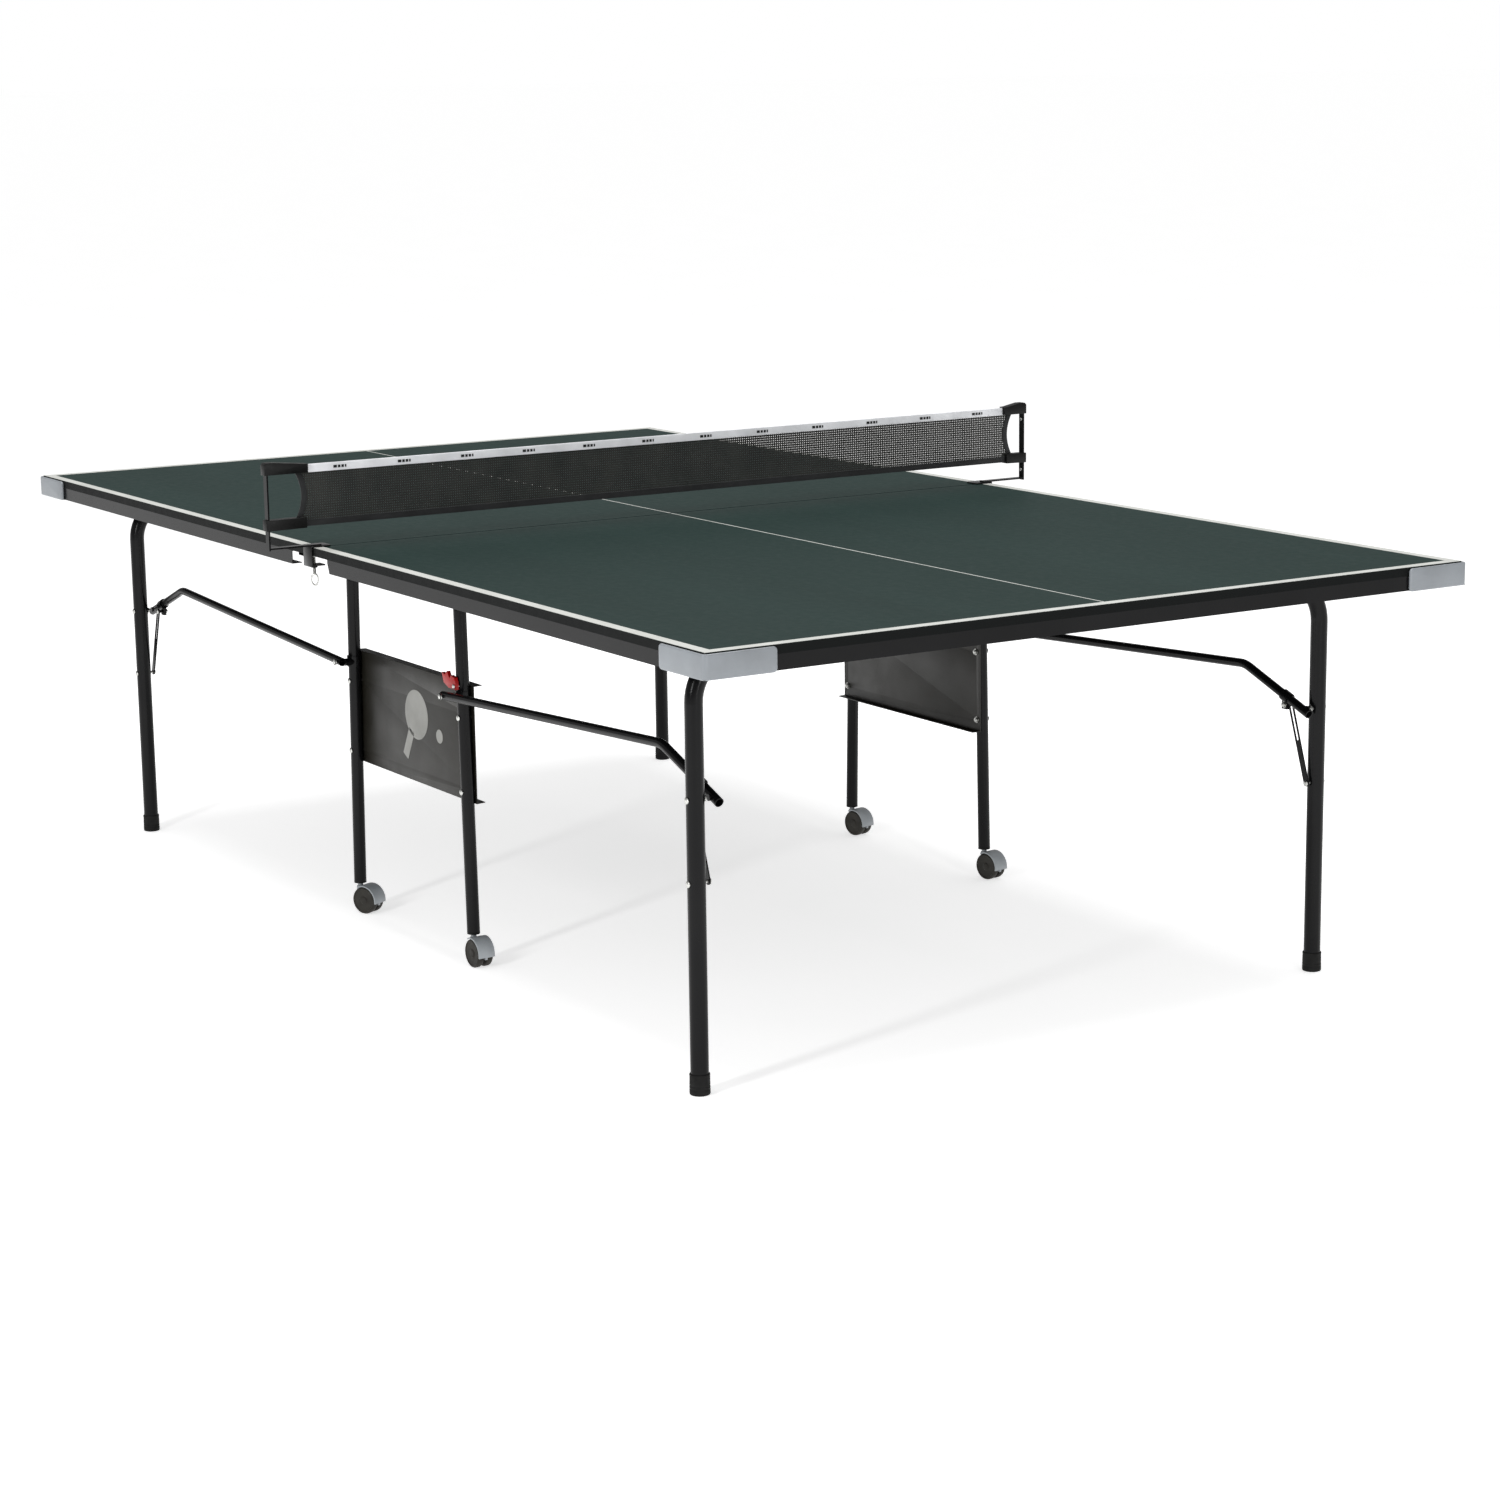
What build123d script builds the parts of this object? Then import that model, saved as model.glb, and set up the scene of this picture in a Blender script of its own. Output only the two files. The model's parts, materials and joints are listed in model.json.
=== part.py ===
from build123d import *
import os
from math import atan2, cos, degrees, hypot, radians, sin

# Folding ping pong table with two half tops on a rolling undercarriage.
# +X runs along the 2740 mm length, +Y along the 1525 mm width and +Z up.
# The origin is on the floor, under the centre of the net.
# "west" is the -X half and "east" the +X half; "front" is the -Y side and "back" the +Y side.

os.makedirs("parts", exist_ok=True)

# ---- driving dimensions, millimetres ----
LENGTH = 2740.0
WIDTH = 1525.0
HEIGHT = 760.0
BOARD_T = 15.0
HALF_GAP = 2.4
BOARD_CORNER_R = 5.0

RAIL_H = 25.0
RAIL_FLANGE = 20.0
SHEET_T = 1.5
RAIL_END_SQUARE = 86.0
RAIL_END_SLANTED = 66.0
RAIL_SLANT = 8.0
RAIL_OUTER_END = 1346.0
CROSS_RAIL_W = 40.0
INNER_RAIL_X = 62.0
OUTER_RAIL_X = 1030.0

PAD_ARM = 131.0
PAD_WALL = 6.0
PAD_H = 40.0
PAD_DROP = 1.5
PAD_LIP = 14.0

# linkage pivots of one half, measured along +X and up from the floor
TOP_PIVOT_X = 180.0
TOP_PIVOT_Z = 732.0
BRACE_PIVOT_X = 220.0
BRACE_PIVOT_Z = 502.0
LEG_X = 1141.5
BRACE_END_Z = 482.0
STAY_PIVOT_Z = 347.0
STAY_PIN_X = 1096.0
STAY_PIN_Z = 484.0
BEND_X = 985.0
BEND_Z = 542.0
BEND_R = 60.0
BRACE_TAIL = 18.0

UPRIGHT_Y = 578.0
BRACE_Y = 611.0
LEG_Y = 645.0
UPRIGHT_R = 12.0
BRACE_R = 8.0
LEG_R = 15.0
TUBE_WALL = 1.5
LEG_BEND_R = 76.0
UPRIGHT_BEND_R = 45.0
UPRIGHT_FOOT_X = 239.4
UPRIGHT_SLOPE = 0.0265
UPRIGHT_TOP_Z = 700.0
UPRIGHT_END_Z = 62.0

HINGE_Y = 480.0
HINGE_PIN_R = 5.0
HINGE_BOSS_R = 11.0
HINGE_PLATE_T = 5.0
CLEVIS_PLATE = (26.0, 24.0, 2.0)
SCREW_SPREAD = (18.0, 17.0)
SCREW_HEAD = (4.2, 2.4)
CLEVIS_T = 4.0
CLEVIS_GAP = 0.5
PIN_CLEARANCE = 0.06

FOOT_R = 17.0
FOOT_H = 35.0
FOOT_FLOOR = 4.0

PANEL_LOW = 300.0
PANEL_HIGH = 518.0
PANEL_HALF_X = 243.0
PANEL_LIP = 19.0
PANEL_BOLT_Z = (323.0, 460.0)
PANEL_T = 1.5

LATCH_X = 229.0
LATCH_Z = 519.0
LATCH_T = 7.0

WHEEL_R = 26.5
WHEEL_W = 13.0
WHEEL_SPLIT = 6.0
CASTER_TRAIL = 18.0
CASTER_STEM_R = 4.0
CASTER_NECK_R = 8.0
HOOD_R = 28.0
HOOD_WALL = 1.6
# the hood's two cut edges, as angles about the axle up from the trailing direction
HOOD_ARC = (-8.0, 118.0)
AXLE_R = 3.0
# turn of each caster about its stem at rest, degrees from "trailing towards +X"
CASTER_TURNS = {"west_front": 26.0, "east_front": 2.0, "west_back": 12.0, "east_back": 10.0}

NET_TOP_Z = 912.5
NET_BOTTOM_Z = 800.0
# how far each end of the net's top tape reaches from the centre line
NET_REACH = {"front": 766.0, "back": 796.0}
NET_T = 1.2
BAND_H = 15.0
BAND_T = 3.0
HEM_H = 12.0
TAPE_W = 11.0
POST_Y = 845.0
POST_W = 14.0
POST_T = 3.0
RIVET_Z = (782.0, 886.0)
CLAMP_X = (-29.0, 8.0)
CLAMP_INSET = 37.0
CLAMP_GAP = 1.0
CLAMP_DROP = 36.0
JAW_Z = 724.0
RING_Z = 698.0
SCREW_R = 3.0
SCREW_Y = 750.0
# how far the wire ring of a clamp screw is turned out of the XZ plane, in degrees
RING_TURN = -58.0
BOLT_R = 3.0

SIDES = {"west": -1, "east": 1}
ENDS = {"front": -1, "back": 1}
CORNERS = [(w, sx, e, sy) for w, sx in SIDES.items() for e, sy in ENDS.items()]

UNDERSIDE = HEIGHT - BOARD_T
RAIL_BOTTOM = UNDERSIDE - RAIL_H
LEG_PIVOT_X = LEG_X + TOP_PIVOT_X - BRACE_PIVOT_X
LEG_TOP_Z = BRACE_END_Z + TOP_PIVOT_Z - BRACE_PIVOT_Z


# ---- small builders ----
def block(x0, x1, y0, y1, z0, z1):
    """A box between two corners, given in any order."""
    size = (abs(x1 - x0), abs(y1 - y0), abs(z1 - z0))
    return Pos((x0 + x1) / 2, (y0 + y1) / 2, (z0 + z1) / 2) * Box(*size)


def rod_y(x, z, y0, y1, r):
    """A round bar along Y."""
    return Pos(x, (y0 + y1) / 2, z) * Rot(90, 0, 0) * Cylinder(r, abs(y1 - y0))


def rod_z(x, y, z0, z1, r):
    """A round bar along Z."""
    return Pos(x, y, (z0 + z1) / 2) * Cylinder(r, abs(z1 - z0))


def mirrored(shape, sx, sy):
    """A copy of an east, back shape in the quarter with the signs sx and sy."""
    if sx < 0:
        shape = mirror(shape, Plane.YZ)
    if sy < 0:
        shape = mirror(shape, Plane.XZ)
    return shape


def save(node, *shapes):
    """Write the separate solids of one node."""
    solids = [solid for shape in shapes for solid in shape.solids()]
    export_step(Compound(children=solids), f"parts/{node}.step")
    print(node, len(solids))


def pipe(path, r, wall):
    """A hollow tube swept along a path of straight runs and tangent arcs."""
    start = Plane(origin=path @ 0, z_dir=path % 0)
    outer = sweep(start * Circle(r), path=path)
    inner = sweep(start * Circle(r - wall), path=path)
    return outer - inner


def hex_bolt(x, z, y0, y1, r):
    """A bolt along Y with a domed head at y0 and a nut at y1."""
    way = 1 if y1 > y0 else -1
    bar = rod_y(x, z, y0, y1, r)
    head = rod_y(x, z, y0 - way * 3.5, y0, r * 1.9)
    nut_plane = Plane(origin=(x, y1, z), x_dir=(1, 0, 0), z_dir=(0, way, 0))
    nut = extrude(nut_plane * RegularPolygon(r * 1.9, 6), 4.5)
    return bar + head + nut


# ---- the two half tops ----
def board():
    """One half of the playing board, for the east side."""
    plate = block(HALF_GAP, LENGTH / 2, -WIDTH / 2, WIDTH / 2, UNDERSIDE, HEIGHT)
    corners = plate.edges().filter_by(Axis.Z).group_by(Axis.X)[-1]
    return fillet(corners, BOARD_CORNER_R)


def channel(length, web_h, flange, t):
    """A C channel from the origin along +X, with its web on -Y and its top at z = 0."""
    web = block(0, length, 0, t, -web_h, 0)
    top = block(0, length, 0, flange, -t, 0)
    bottom = block(0, length, 0, flange, -web_h, t - web_h)
    return web + top + bottom


def side_rail(slanted):
    """The folded steel rail under a long edge of the east half, on the front side."""
    start = RAIL_END_SLANTED if slanted else RAIL_END_SQUARE
    rail = channel(RAIL_OUTER_END - start, RAIL_H, RAIL_FLANGE, SHEET_T)
    rail = Pos(start, -WIDTH / 2, UNDERSIDE) * rail
    if slanted:
        profile = Polyline(
            (start - 1, UNDERSIDE - 4),
            (start + RAIL_SLANT, RAIL_BOTTOM - 1),
            (start - 1, RAIL_BOTTOM - 1),
            close=True,
        )
        cutter = extrude(Plane.XZ * make_face(profile), WIDTH, both=True)
        rail = rail - cutter
    return rail


def end_rail():
    """The folded steel rail under the end edge of the east half."""
    half = WIDTH / 2 - BOARD_CORNER_R
    rail = channel(2 * half, RAIL_H, RAIL_FLANGE, SHEET_T)
    return Pos(LENGTH / 2, -half, UNDERSIDE) * Rot(0, 0, 90) * rail


def cross_rail(x, depth):
    """A shallow rail across the underside, open towards the board."""
    half = WIDTH / 2 - RAIL_FLANGE - 1
    outer = block(x, x + CROSS_RAIL_W, -half, half, UNDERSIDE - depth, UNDERSIDE)
    inner = block(x + SHEET_T, x + CROSS_RAIL_W - SHEET_T, -half - 1, half + 1,
                  UNDERSIDE - depth + SHEET_T, UNDERSIDE + 1)
    return outer - inner


def far_corner(shape):
    """The upright edge of a block that is furthest along +X and +Y."""
    return shape.edges().filter_by(Axis.Z).sort_by(Axis.X)[-2:].sort_by(Axis.Y)[-1:]


def corner_pad():
    """The moulded corner guard of the east, back corner: an L wall with a lip under the rails."""
    x1, y1 = LENGTH / 2, WIDTH / 2
    top = HEIGHT - PAD_DROP
    low = top - PAD_H
    outer = block(x1 - PAD_ARM, x1 + PAD_WALL, y1 - PAD_ARM, y1 + PAD_WALL, low, top)
    outer = fillet(far_corner(outer), BOARD_CORNER_R + PAD_WALL)
    core = block(x1 - PAD_ARM - 1, x1, y1 - PAD_ARM - 1, y1, RAIL_BOTTOM, top + 1)
    core = fillet(far_corner(core), BOARD_CORNER_R)
    hollow = block(x1 - PAD_ARM - 1, x1 - PAD_LIP, y1 - PAD_ARM - 1, y1 - PAD_LIP, low - 1, top + 1)
    return outer - core - hollow


def clevis(x, z):
    """A pair of ears under the board that hold a hinge pin at x, z, on a screwed base plate."""
    ears = []
    inner = HINGE_PLATE_T / 2 + CLEVIS_GAP
    reach, side, base_t = CLEVIS_PLATE
    base = block(x - reach, x + reach, HINGE_Y - side, HINGE_Y + side, UNDERSIDE - base_t, UNDERSIDE)
    for s in (-1, 1):
        y0 = HINGE_Y + s * inner
        y1 = y0 + s * CLEVIS_T
        ear = block(x - HINGE_BOSS_R, x + HINGE_BOSS_R, y0, y1, z, UNDERSIDE - base_t)
        ear = ear + rod_y(x, z, y0, y1, HINGE_BOSS_R)
        ears.append(ear - rod_y(x, z, y0 - s, y1 + s, HINGE_PIN_R + PIN_CLEARANCE))
    return base + ears[0] + ears[1]


def board_screws():
    """Pan-head screws that hold the hinge plates to the east board."""
    dx, dy = SCREW_SPREAD
    head_r, head_t = SCREW_HEAD
    face = UNDERSIDE - CLEVIS_PLATE[2]
    heads = []
    for x in (TOP_PIVOT_X - dx, TOP_PIVOT_X + dx, LEG_PIVOT_X - dx, LEG_PIVOT_X + dx):
        for y in (-HINGE_Y - dy, -HINGE_Y + dy, HINGE_Y - dy, HINGE_Y + dy):
            head = rod_z(x, y, face - head_t, face, head_r)
            heads.append(fillet(head.edges().group_by(Axis.Z)[0], head_t * 0.66))
    return heads


# ---- hoops ----
def leg_hoop():
    """The outer leg hoop of the east half: two legs and a top bar bent from one tube."""
    low = FOOT_FLOOR
    path = FilletPolyline(
        (LEG_X, -LEG_Y, low), (LEG_X, -LEG_Y, LEG_TOP_Z), (LEG_X, LEG_Y, LEG_TOP_Z), (LEG_X, LEG_Y, low),
        radius=LEG_BEND_R,
    )
    hoop = pipe(path, LEG_R, TUBE_WALL)
    for s in (-1, 1):
        for z in (BRACE_END_Z, STAY_PIVOT_Z):
            hoop = hoop - rod_y(LEG_X, z, s * (LEG_Y - 25), s * (LEG_Y + 25), BOLT_R)
    for ear in leg_ears():
        hoop = hoop + ear
    return hoop


def leg_ears():
    """Two plates welded to the leg hoop's top bar, with the hinge pins."""
    ears = []
    for s in (-1, 1):
        y = s * HINGE_Y
        y0, y1 = y - HINGE_PLATE_T / 2, y + HINGE_PLATE_T / 2
        arm = block(LEG_PIVOT_X, LEG_X, y0, y1, LEG_TOP_Z - HINGE_BOSS_R, LEG_TOP_Z + HINGE_BOSS_R)
        arm = arm + rod_y(LEG_PIVOT_X, LEG_TOP_Z, y0, y1, HINGE_BOSS_R)
        arm = arm - rod_y(LEG_X, LEG_TOP_Z, y0 - 1, y1 + 1, LEG_R)
        ears.append(arm + hinge_pin(LEG_PIVOT_X, LEG_TOP_Z, y))
    return ears


def hinge_pin(x, z, y):
    """A hinge pin along Y that passes through both ears of a clevis, with a head at each end."""
    half = HINGE_PLATE_T / 2 + CLEVIS_GAP + CLEVIS_T + 0.5
    pin = rod_y(x, z, y - half, y + half, HINGE_PIN_R)
    for s in (-1, 1):
        pin = pin + rod_y(x, z, y + s * half, y + s * (half + 2.5), HINGE_PIN_R * 1.5)
    return pin


def foot_cap():
    """The rubber cap on the east, back leg."""
    cap = rod_z(LEG_X, LEG_Y, 0, FOOT_H, FOOT_R)
    cap = cap - rod_z(LEG_X, LEG_Y, FOOT_FLOOR, FOOT_H + 1, LEG_R)
    rims = cap.edges().filter_by(GeomType.CIRCLE).group_by(Axis.Z)[0]
    return fillet(rims, 2.5)


def upright_x(z):
    """Where the centre line of an upright is at the height z."""
    return UPRIGHT_FOOT_X - UPRIGHT_SLOPE * z


def inner_hoop():
    """The inner hoop of the east half: two uprights and a top bar bent from one tube."""
    top_x = upright_x(UPRIGHT_TOP_Z)
    low_x = upright_x(UPRIGHT_END_Z)
    path = FilletPolyline(
        (low_x, -UPRIGHT_Y, UPRIGHT_END_Z), (top_x, -UPRIGHT_Y, UPRIGHT_TOP_Z),
        (top_x, UPRIGHT_Y, UPRIGHT_TOP_Z), (low_x, UPRIGHT_Y, UPRIGHT_END_Z),
        radius=UPRIGHT_BEND_R,
    )
    hoop = pipe(path, UPRIGHT_R, TUBE_WALL)
    for s in (-1, 1):
        for z in PANEL_BOLT_Z:
            hoop = hoop - rod_y(upright_x(z), z, s * (UPRIGHT_Y - 20), s * (UPRIGHT_Y + 20), BOLT_R)
    for ear in hoop_ears():
        hoop = hoop + ear
    return hoop


def hoop_ears():
    """Two plates welded to the inner hoop's top bar, with the pins that the half top turns on."""
    bar_x = upright_x(UPRIGHT_TOP_Z)
    run = atan2(TOP_PIVOT_Z - UPRIGHT_TOP_Z, TOP_PIVOT_X - bar_x)
    reach = hypot(TOP_PIVOT_Z - UPRIGHT_TOP_Z, TOP_PIVOT_X - bar_x)
    ears = []
    for s in (-1, 1):
        y = s * HINGE_Y
        y0, y1 = y - HINGE_PLATE_T / 2, y + HINGE_PLATE_T / 2
        arm = Pos(bar_x, y, UPRIGHT_TOP_Z) * Rot(0, -degrees(run), 0) * Pos(reach / 2, 0, 0)
        arm = arm * Box(reach, HINGE_PLATE_T, 2 * HINGE_BOSS_R)
        arm = arm + rod_y(TOP_PIVOT_X, TOP_PIVOT_Z, y0, y1, HINGE_BOSS_R)
        arm = arm - rod_y(bar_x, UPRIGHT_TOP_Z, y0 - 1, y1 + 1, UPRIGHT_R)
        ears.append(arm + hinge_pin(TOP_PIVOT_X, TOP_PIVOT_Z, y))
    return ears


# ---- undercarriage ----
def side_panel():
    """The sheet panel on the back side: bolted inside the uprights, with two lips bent inwards."""
    face = UPRIGHT_Y - UPRIGHT_R
    sheet = block(-PANEL_HALF_X, PANEL_HALF_X, face - PANEL_T, face, PANEL_LOW, PANEL_HIGH)
    for z0, z1 in ((PANEL_LOW, PANEL_LOW + PANEL_T), (PANEL_HIGH - PANEL_T, PANEL_HIGH)):
        outline = Polyline(
            (-PANEL_HALF_X, face), (PANEL_HALF_X, face),
            (PANEL_HALF_X - 3, face - PANEL_LIP), (-PANEL_HALF_X + 3, face - PANEL_LIP),
            close=True,
        )
        sheet = sheet + Pos(0, 0, z0) * extrude(make_face(outline), z1 - z0)
    for sx in (-1, 1):
        for z in PANEL_BOLT_Z:
            sheet = sheet - rod_y(sx * upright_x(z), z, face - 5, face + 5, BOLT_R)
    return sheet


def panel_bolt(z):
    """A bolt that clamps the panel to the east, back upright."""
    outside = UPRIGHT_Y + UPRIGHT_R
    inside = UPRIGHT_Y - UPRIGHT_R - PANEL_T
    return hex_bolt(upright_x(z), z, outside, inside, BOLT_R)


def brace_bracket():
    """The saddle on the east, back upright that carries the brace's inner pivot."""
    z = BRACE_PIVOT_Z
    x = upright_x(z)
    saddle = rod_z(x, UPRIGHT_Y, z - 13, z + 7, UPRIGHT_R + 2.6)
    boss = rod_y(BRACE_PIVOT_X, z - 3, UPRIGHT_Y + 4, BRACE_Y - BRACE_R - 1.2, 7.0)
    saddle = saddle + boss - rod_z(x, UPRIGHT_Y, z - 20, z + 20, UPRIGHT_R + 0.6)
    saddle = saddle - block(x - 30, x + 30, 0, UPRIGHT_Y - 2, z - 20, z + 20)
    pin = rod_y(BRACE_PIVOT_X, z, BRACE_Y - BRACE_R - 2, BRACE_Y + BRACE_R + 1.5, 3.0)
    head = rod_y(BRACE_PIVOT_X, z, BRACE_Y + BRACE_R + 1.5, BRACE_Y + BRACE_R + 5.0, 5.8)
    return saddle + pin + head


def caster_socket():
    """The plastic plug in the lower end of the east, back upright."""
    x = upright_x(UPRIGHT_END_Z)
    plug = rod_z(x, UPRIGHT_Y, UPRIGHT_END_Z - 3.5, UPRIGHT_END_Z - 0.4, UPRIGHT_R)
    plug = plug + rod_z(x, UPRIGHT_Y, UPRIGHT_END_Z - 1, UPRIGHT_END_Z + 26, UPRIGHT_R - TUBE_WALL - 1.2)
    return plug - rod_z(x, UPRIGHT_Y, UPRIGHT_END_Z - 4, UPRIGHT_END_Z + 20, CASTER_STEM_R + PIN_CLEARANCE)


# ---- casters ----
def caster_frame(sx, sy, turn):
    """The place of a caster: its stem's foot, turned about the stem."""
    return Pos(sx * upright_x(UPRIGHT_END_Z), sy * UPRIGHT_Y, 0) * Rot(0, 0, turn)


def hood_sector(r, half):
    """A wedge about the axle that spans the hood's arc, for cutting its shell."""
    low, high = HOOD_ARC
    steps = [low + (high - low) * i / 4 for i in range(5)]
    rim = [(r * cos(radians(a)), r * sin(radians(a))) for a in steps]
    wedge = make_face(Polyline((0, 0), *rim, close=True))
    plane = Plane(origin=(CASTER_TRAIL, 0, WHEEL_R), x_dir=(1, 0, 0), z_dir=(0, -1, 0))
    return extrude(plane * wedge, half, both=True)


def caster_hood():
    """The hood of a twin-wheel caster with its axle and stem, at the origin and trailing to +X."""
    half = WHEEL_SPLIT / 2 + WHEEL_W + 0.6
    shell = rod_y(CASTER_TRAIL, WHEEL_R, -half, half, HOOD_R + HOOD_WALL)
    shell = shell - rod_y(CASTER_TRAIL, WHEEL_R, -half - 1, half + 1, HOOD_R)
    shell = shell & hood_sector(3 * HOOD_R, half)
    web = rod_y(CASTER_TRAIL, WHEEL_R, -WHEEL_SPLIT / 2 + 0.6, WHEEL_SPLIT / 2 - 0.6, HOOD_R + 0.2)
    web = web & block(-40, 60, -half, half, WHEEL_R - 9, 90)
    axle = rod_y(CASTER_TRAIL, WHEEL_R, -half + 1.5, half - 1.5, AXLE_R)
    neck_top = UPRIGHT_END_Z - 4
    neck = rod_z(0, 0, WHEEL_R + 12, neck_top, CASTER_NECK_R)
    neck = neck - rod_y(CASTER_TRAIL, WHEEL_R, -half - 1, half + 1, HOOD_R)
    stem = rod_z(0, 0, neck_top - 2, UPRIGHT_END_Z + 18, CASTER_STEM_R)
    return shell + web + axle + neck + stem


def caster_wheel(s):
    """One of the twin wheels, on the side s of the hood's web."""
    y0 = s * WHEEL_SPLIT / 2
    y1 = s * (WHEEL_SPLIT / 2 + WHEEL_W)
    wheel = rod_y(CASTER_TRAIL, WHEEL_R, y0, y1, WHEEL_R)
    rims = wheel.edges().filter_by(GeomType.CIRCLE)
    wheel = fillet(rims, 2.0)
    dish = rod_y(CASTER_TRAIL, WHEEL_R, y1 - s * 2.0, y1 + s, WHEEL_R - 6)
    return wheel - dish - rod_y(CASTER_TRAIL, WHEEL_R, y0 - s, y1 + s, AXLE_R + PIN_CLEARANCE)


# ---- linkage ----
def brace():
    """The bent brace of the east, back corner: a tube with a plugged tail beyond the leg pivot."""
    slope = atan2(BRACE_END_Z - BEND_Z, LEG_X - BEND_X)
    tail = (LEG_X + BRACE_TAIL * cos(slope), BRACE_Y, BRACE_END_Z + BRACE_TAIL * sin(slope))
    lead = atan2(BEND_Z - BRACE_PIVOT_Z, BEND_X - BRACE_PIVOT_X)
    start = (BRACE_PIVOT_X - 10 * cos(lead), BRACE_Y, BRACE_PIVOT_Z - 10 * sin(lead))
    path = FilletPolyline(start, (BEND_X, BRACE_Y, BEND_Z), tail, radius=BEND_R)
    tube = pipe(path, BRACE_R, TUBE_WALL)
    pivot = rod_y(BRACE_PIVOT_X, BRACE_PIVOT_Z, BRACE_Y - 20, BRACE_Y + 20, BOLT_R + PIN_CLEARANCE)
    return tube - pivot


def brace_hardware():
    """The pins and clip on the outer end of the brace: the leg pin, the stay clip and the end plug."""
    outer_y = BRACE_Y + BRACE_R
    slope = atan2(BRACE_END_Z - BEND_Z, LEG_X - BEND_X)
    back = hypot(STAY_PIN_X - LEG_X, STAY_PIN_Z - BRACE_END_Z)
    run = Pos(LEG_X, BRACE_Y, BRACE_END_Z) * Rot(0, -degrees(slope), 0) * Pos(-back, 0, 0) * Rot(0, 90, 0)
    tube = run * Cylinder(BRACE_R, 140)
    leg_pin = rod_y(LEG_X, BRACE_END_Z, outer_y - 3, outer_y + 2.2, 5.5) - tube
    clip = run * Cylinder(BRACE_R + 2.4, 18)
    lug = block(STAY_PIN_X - 7, STAY_PIN_X + 7, BRACE_Y - 3, BRACE_Y + 3, STAY_PIN_Z - 8, STAY_PIN_Z + 8)
    pin = rod_y(STAY_PIN_X, STAY_PIN_Z, BRACE_Y + 2, BRACE_Y + BRACE_R + 1.5, 3.0)
    clip = clip + lug + pin - tube
    return [leg_pin, clip]


def stay():
    """The slotted link between the east, back leg and its brace."""
    lean = atan2(STAY_PIN_X - LEG_X, STAY_PIN_Z - STAY_PIVOT_Z)
    length = hypot(STAY_PIN_X - LEG_X, STAY_PIN_Z - STAY_PIVOT_Z)
    w, t = 12.0, 2.5
    y0 = BRACE_Y + BRACE_R + 3.0
    plane = Plane(origin=(LEG_X, y0, STAY_PIVOT_Z), x_dir=(sin(lean), 0, cos(lean)), z_dir=(0, 1, 0))
    bar = Pos(length / 2, 0, 0) * SlotCenterToCenter(length, w)
    slot = Pos(length - 32, 0, 0) * SlotCenterToCenter(64, 6.4)
    eye = Circle(BOLT_R + PIN_CLEARANCE)
    link = extrude(plane * (bar - slot - eye), t)
    return link


def leg_bolts():
    """The bolts through the east, back leg: the brace's bolt and the pin that the stay turns on."""
    outside = LEG_Y + LEG_R
    inside = LEG_Y - LEG_R
    brace_bolt = hex_bolt(LEG_X, BRACE_END_Z, outside, inside, BOLT_R)
    stay_pin = rod_y(LEG_X, STAY_PIVOT_Z, BRACE_Y + BRACE_R + 2.4, outside, 3.0)
    stay_pin = stay_pin + rod_y(LEG_X, STAY_PIVOT_Z, outside, outside + 3.5, 5.7)
    stay_pin = stay_pin + rod_y(LEG_X, STAY_PIVOT_Z, BRACE_Y + BRACE_R - 1, BRACE_Y + BRACE_R + 2.4, 5.2)
    return [brace_bolt, stay_pin]


def latch():
    """The plastic catch beside the east, back upright, that turns on a screw in the upright."""
    outline = Polyline(
        (5, -6), (-22, -5), (-40, 2), (-47, 20), (-36, 17), (-26, 25), (-17, 12), (-12, 19), (2, 16), (6, 4),
        close=True,
    )
    y0 = UPRIGHT_Y + UPRIGHT_R + 1.0
    plane = Plane(origin=(LATCH_X, y0, LATCH_Z), x_dir=(1, 0, 0), z_dir=(0, -1, 0))
    plate = Pos(0, LATCH_T, 0) * extrude(plane * make_face(outline), LATCH_T)
    return plate - rod_y(LATCH_X, LATCH_Z, y0 - 5, y0 + 15, BOLT_R + PIN_CLEARANCE)


def latch_screw():
    """The screw that the east, back latch turns on."""
    y0 = UPRIGHT_Y + UPRIGHT_R
    shank = rod_y(LATCH_X, LATCH_Z, y0 - 5, y0 + LATCH_T + 1.4, BOLT_R)
    shank = shank - rod_z(upright_x(LATCH_Z), UPRIGHT_Y, 400, 600, UPRIGHT_R + 1.0)
    return shank + rod_y(LATCH_X, LATCH_Z, y0 + LATCH_T + 1.4, y0 + LATCH_T + 3.4, 4.6)


# ---- net set ----
def net_sheet():
    """The net as a plain thin panel between its tapes."""
    low = NET_BOTTOM_Z + HEM_H
    high = NET_TOP_Z - BAND_H
    return block(-NET_T / 2, NET_T / 2, -NET_REACH["front"], NET_REACH["back"], low, high)


def net_band():
    """The white tape folded over the top cord of the net."""
    y0, y1 = -NET_REACH["front"], NET_REACH["back"]
    return block(-BAND_T / 2, BAND_T / 2, y0, y1, NET_TOP_Z - BAND_H, NET_TOP_Z)


def net_bottom_tape():
    """The dark tape along the bottom of the net, between the lower clips."""
    y0, y1 = -NET_REACH["front"] - 6, NET_REACH["back"] + 6
    return block(-BAND_T / 2, BAND_T / 2, y0, y1, NET_BOTTOM_Z, NET_BOTTOM_Z + HEM_H)


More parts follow.
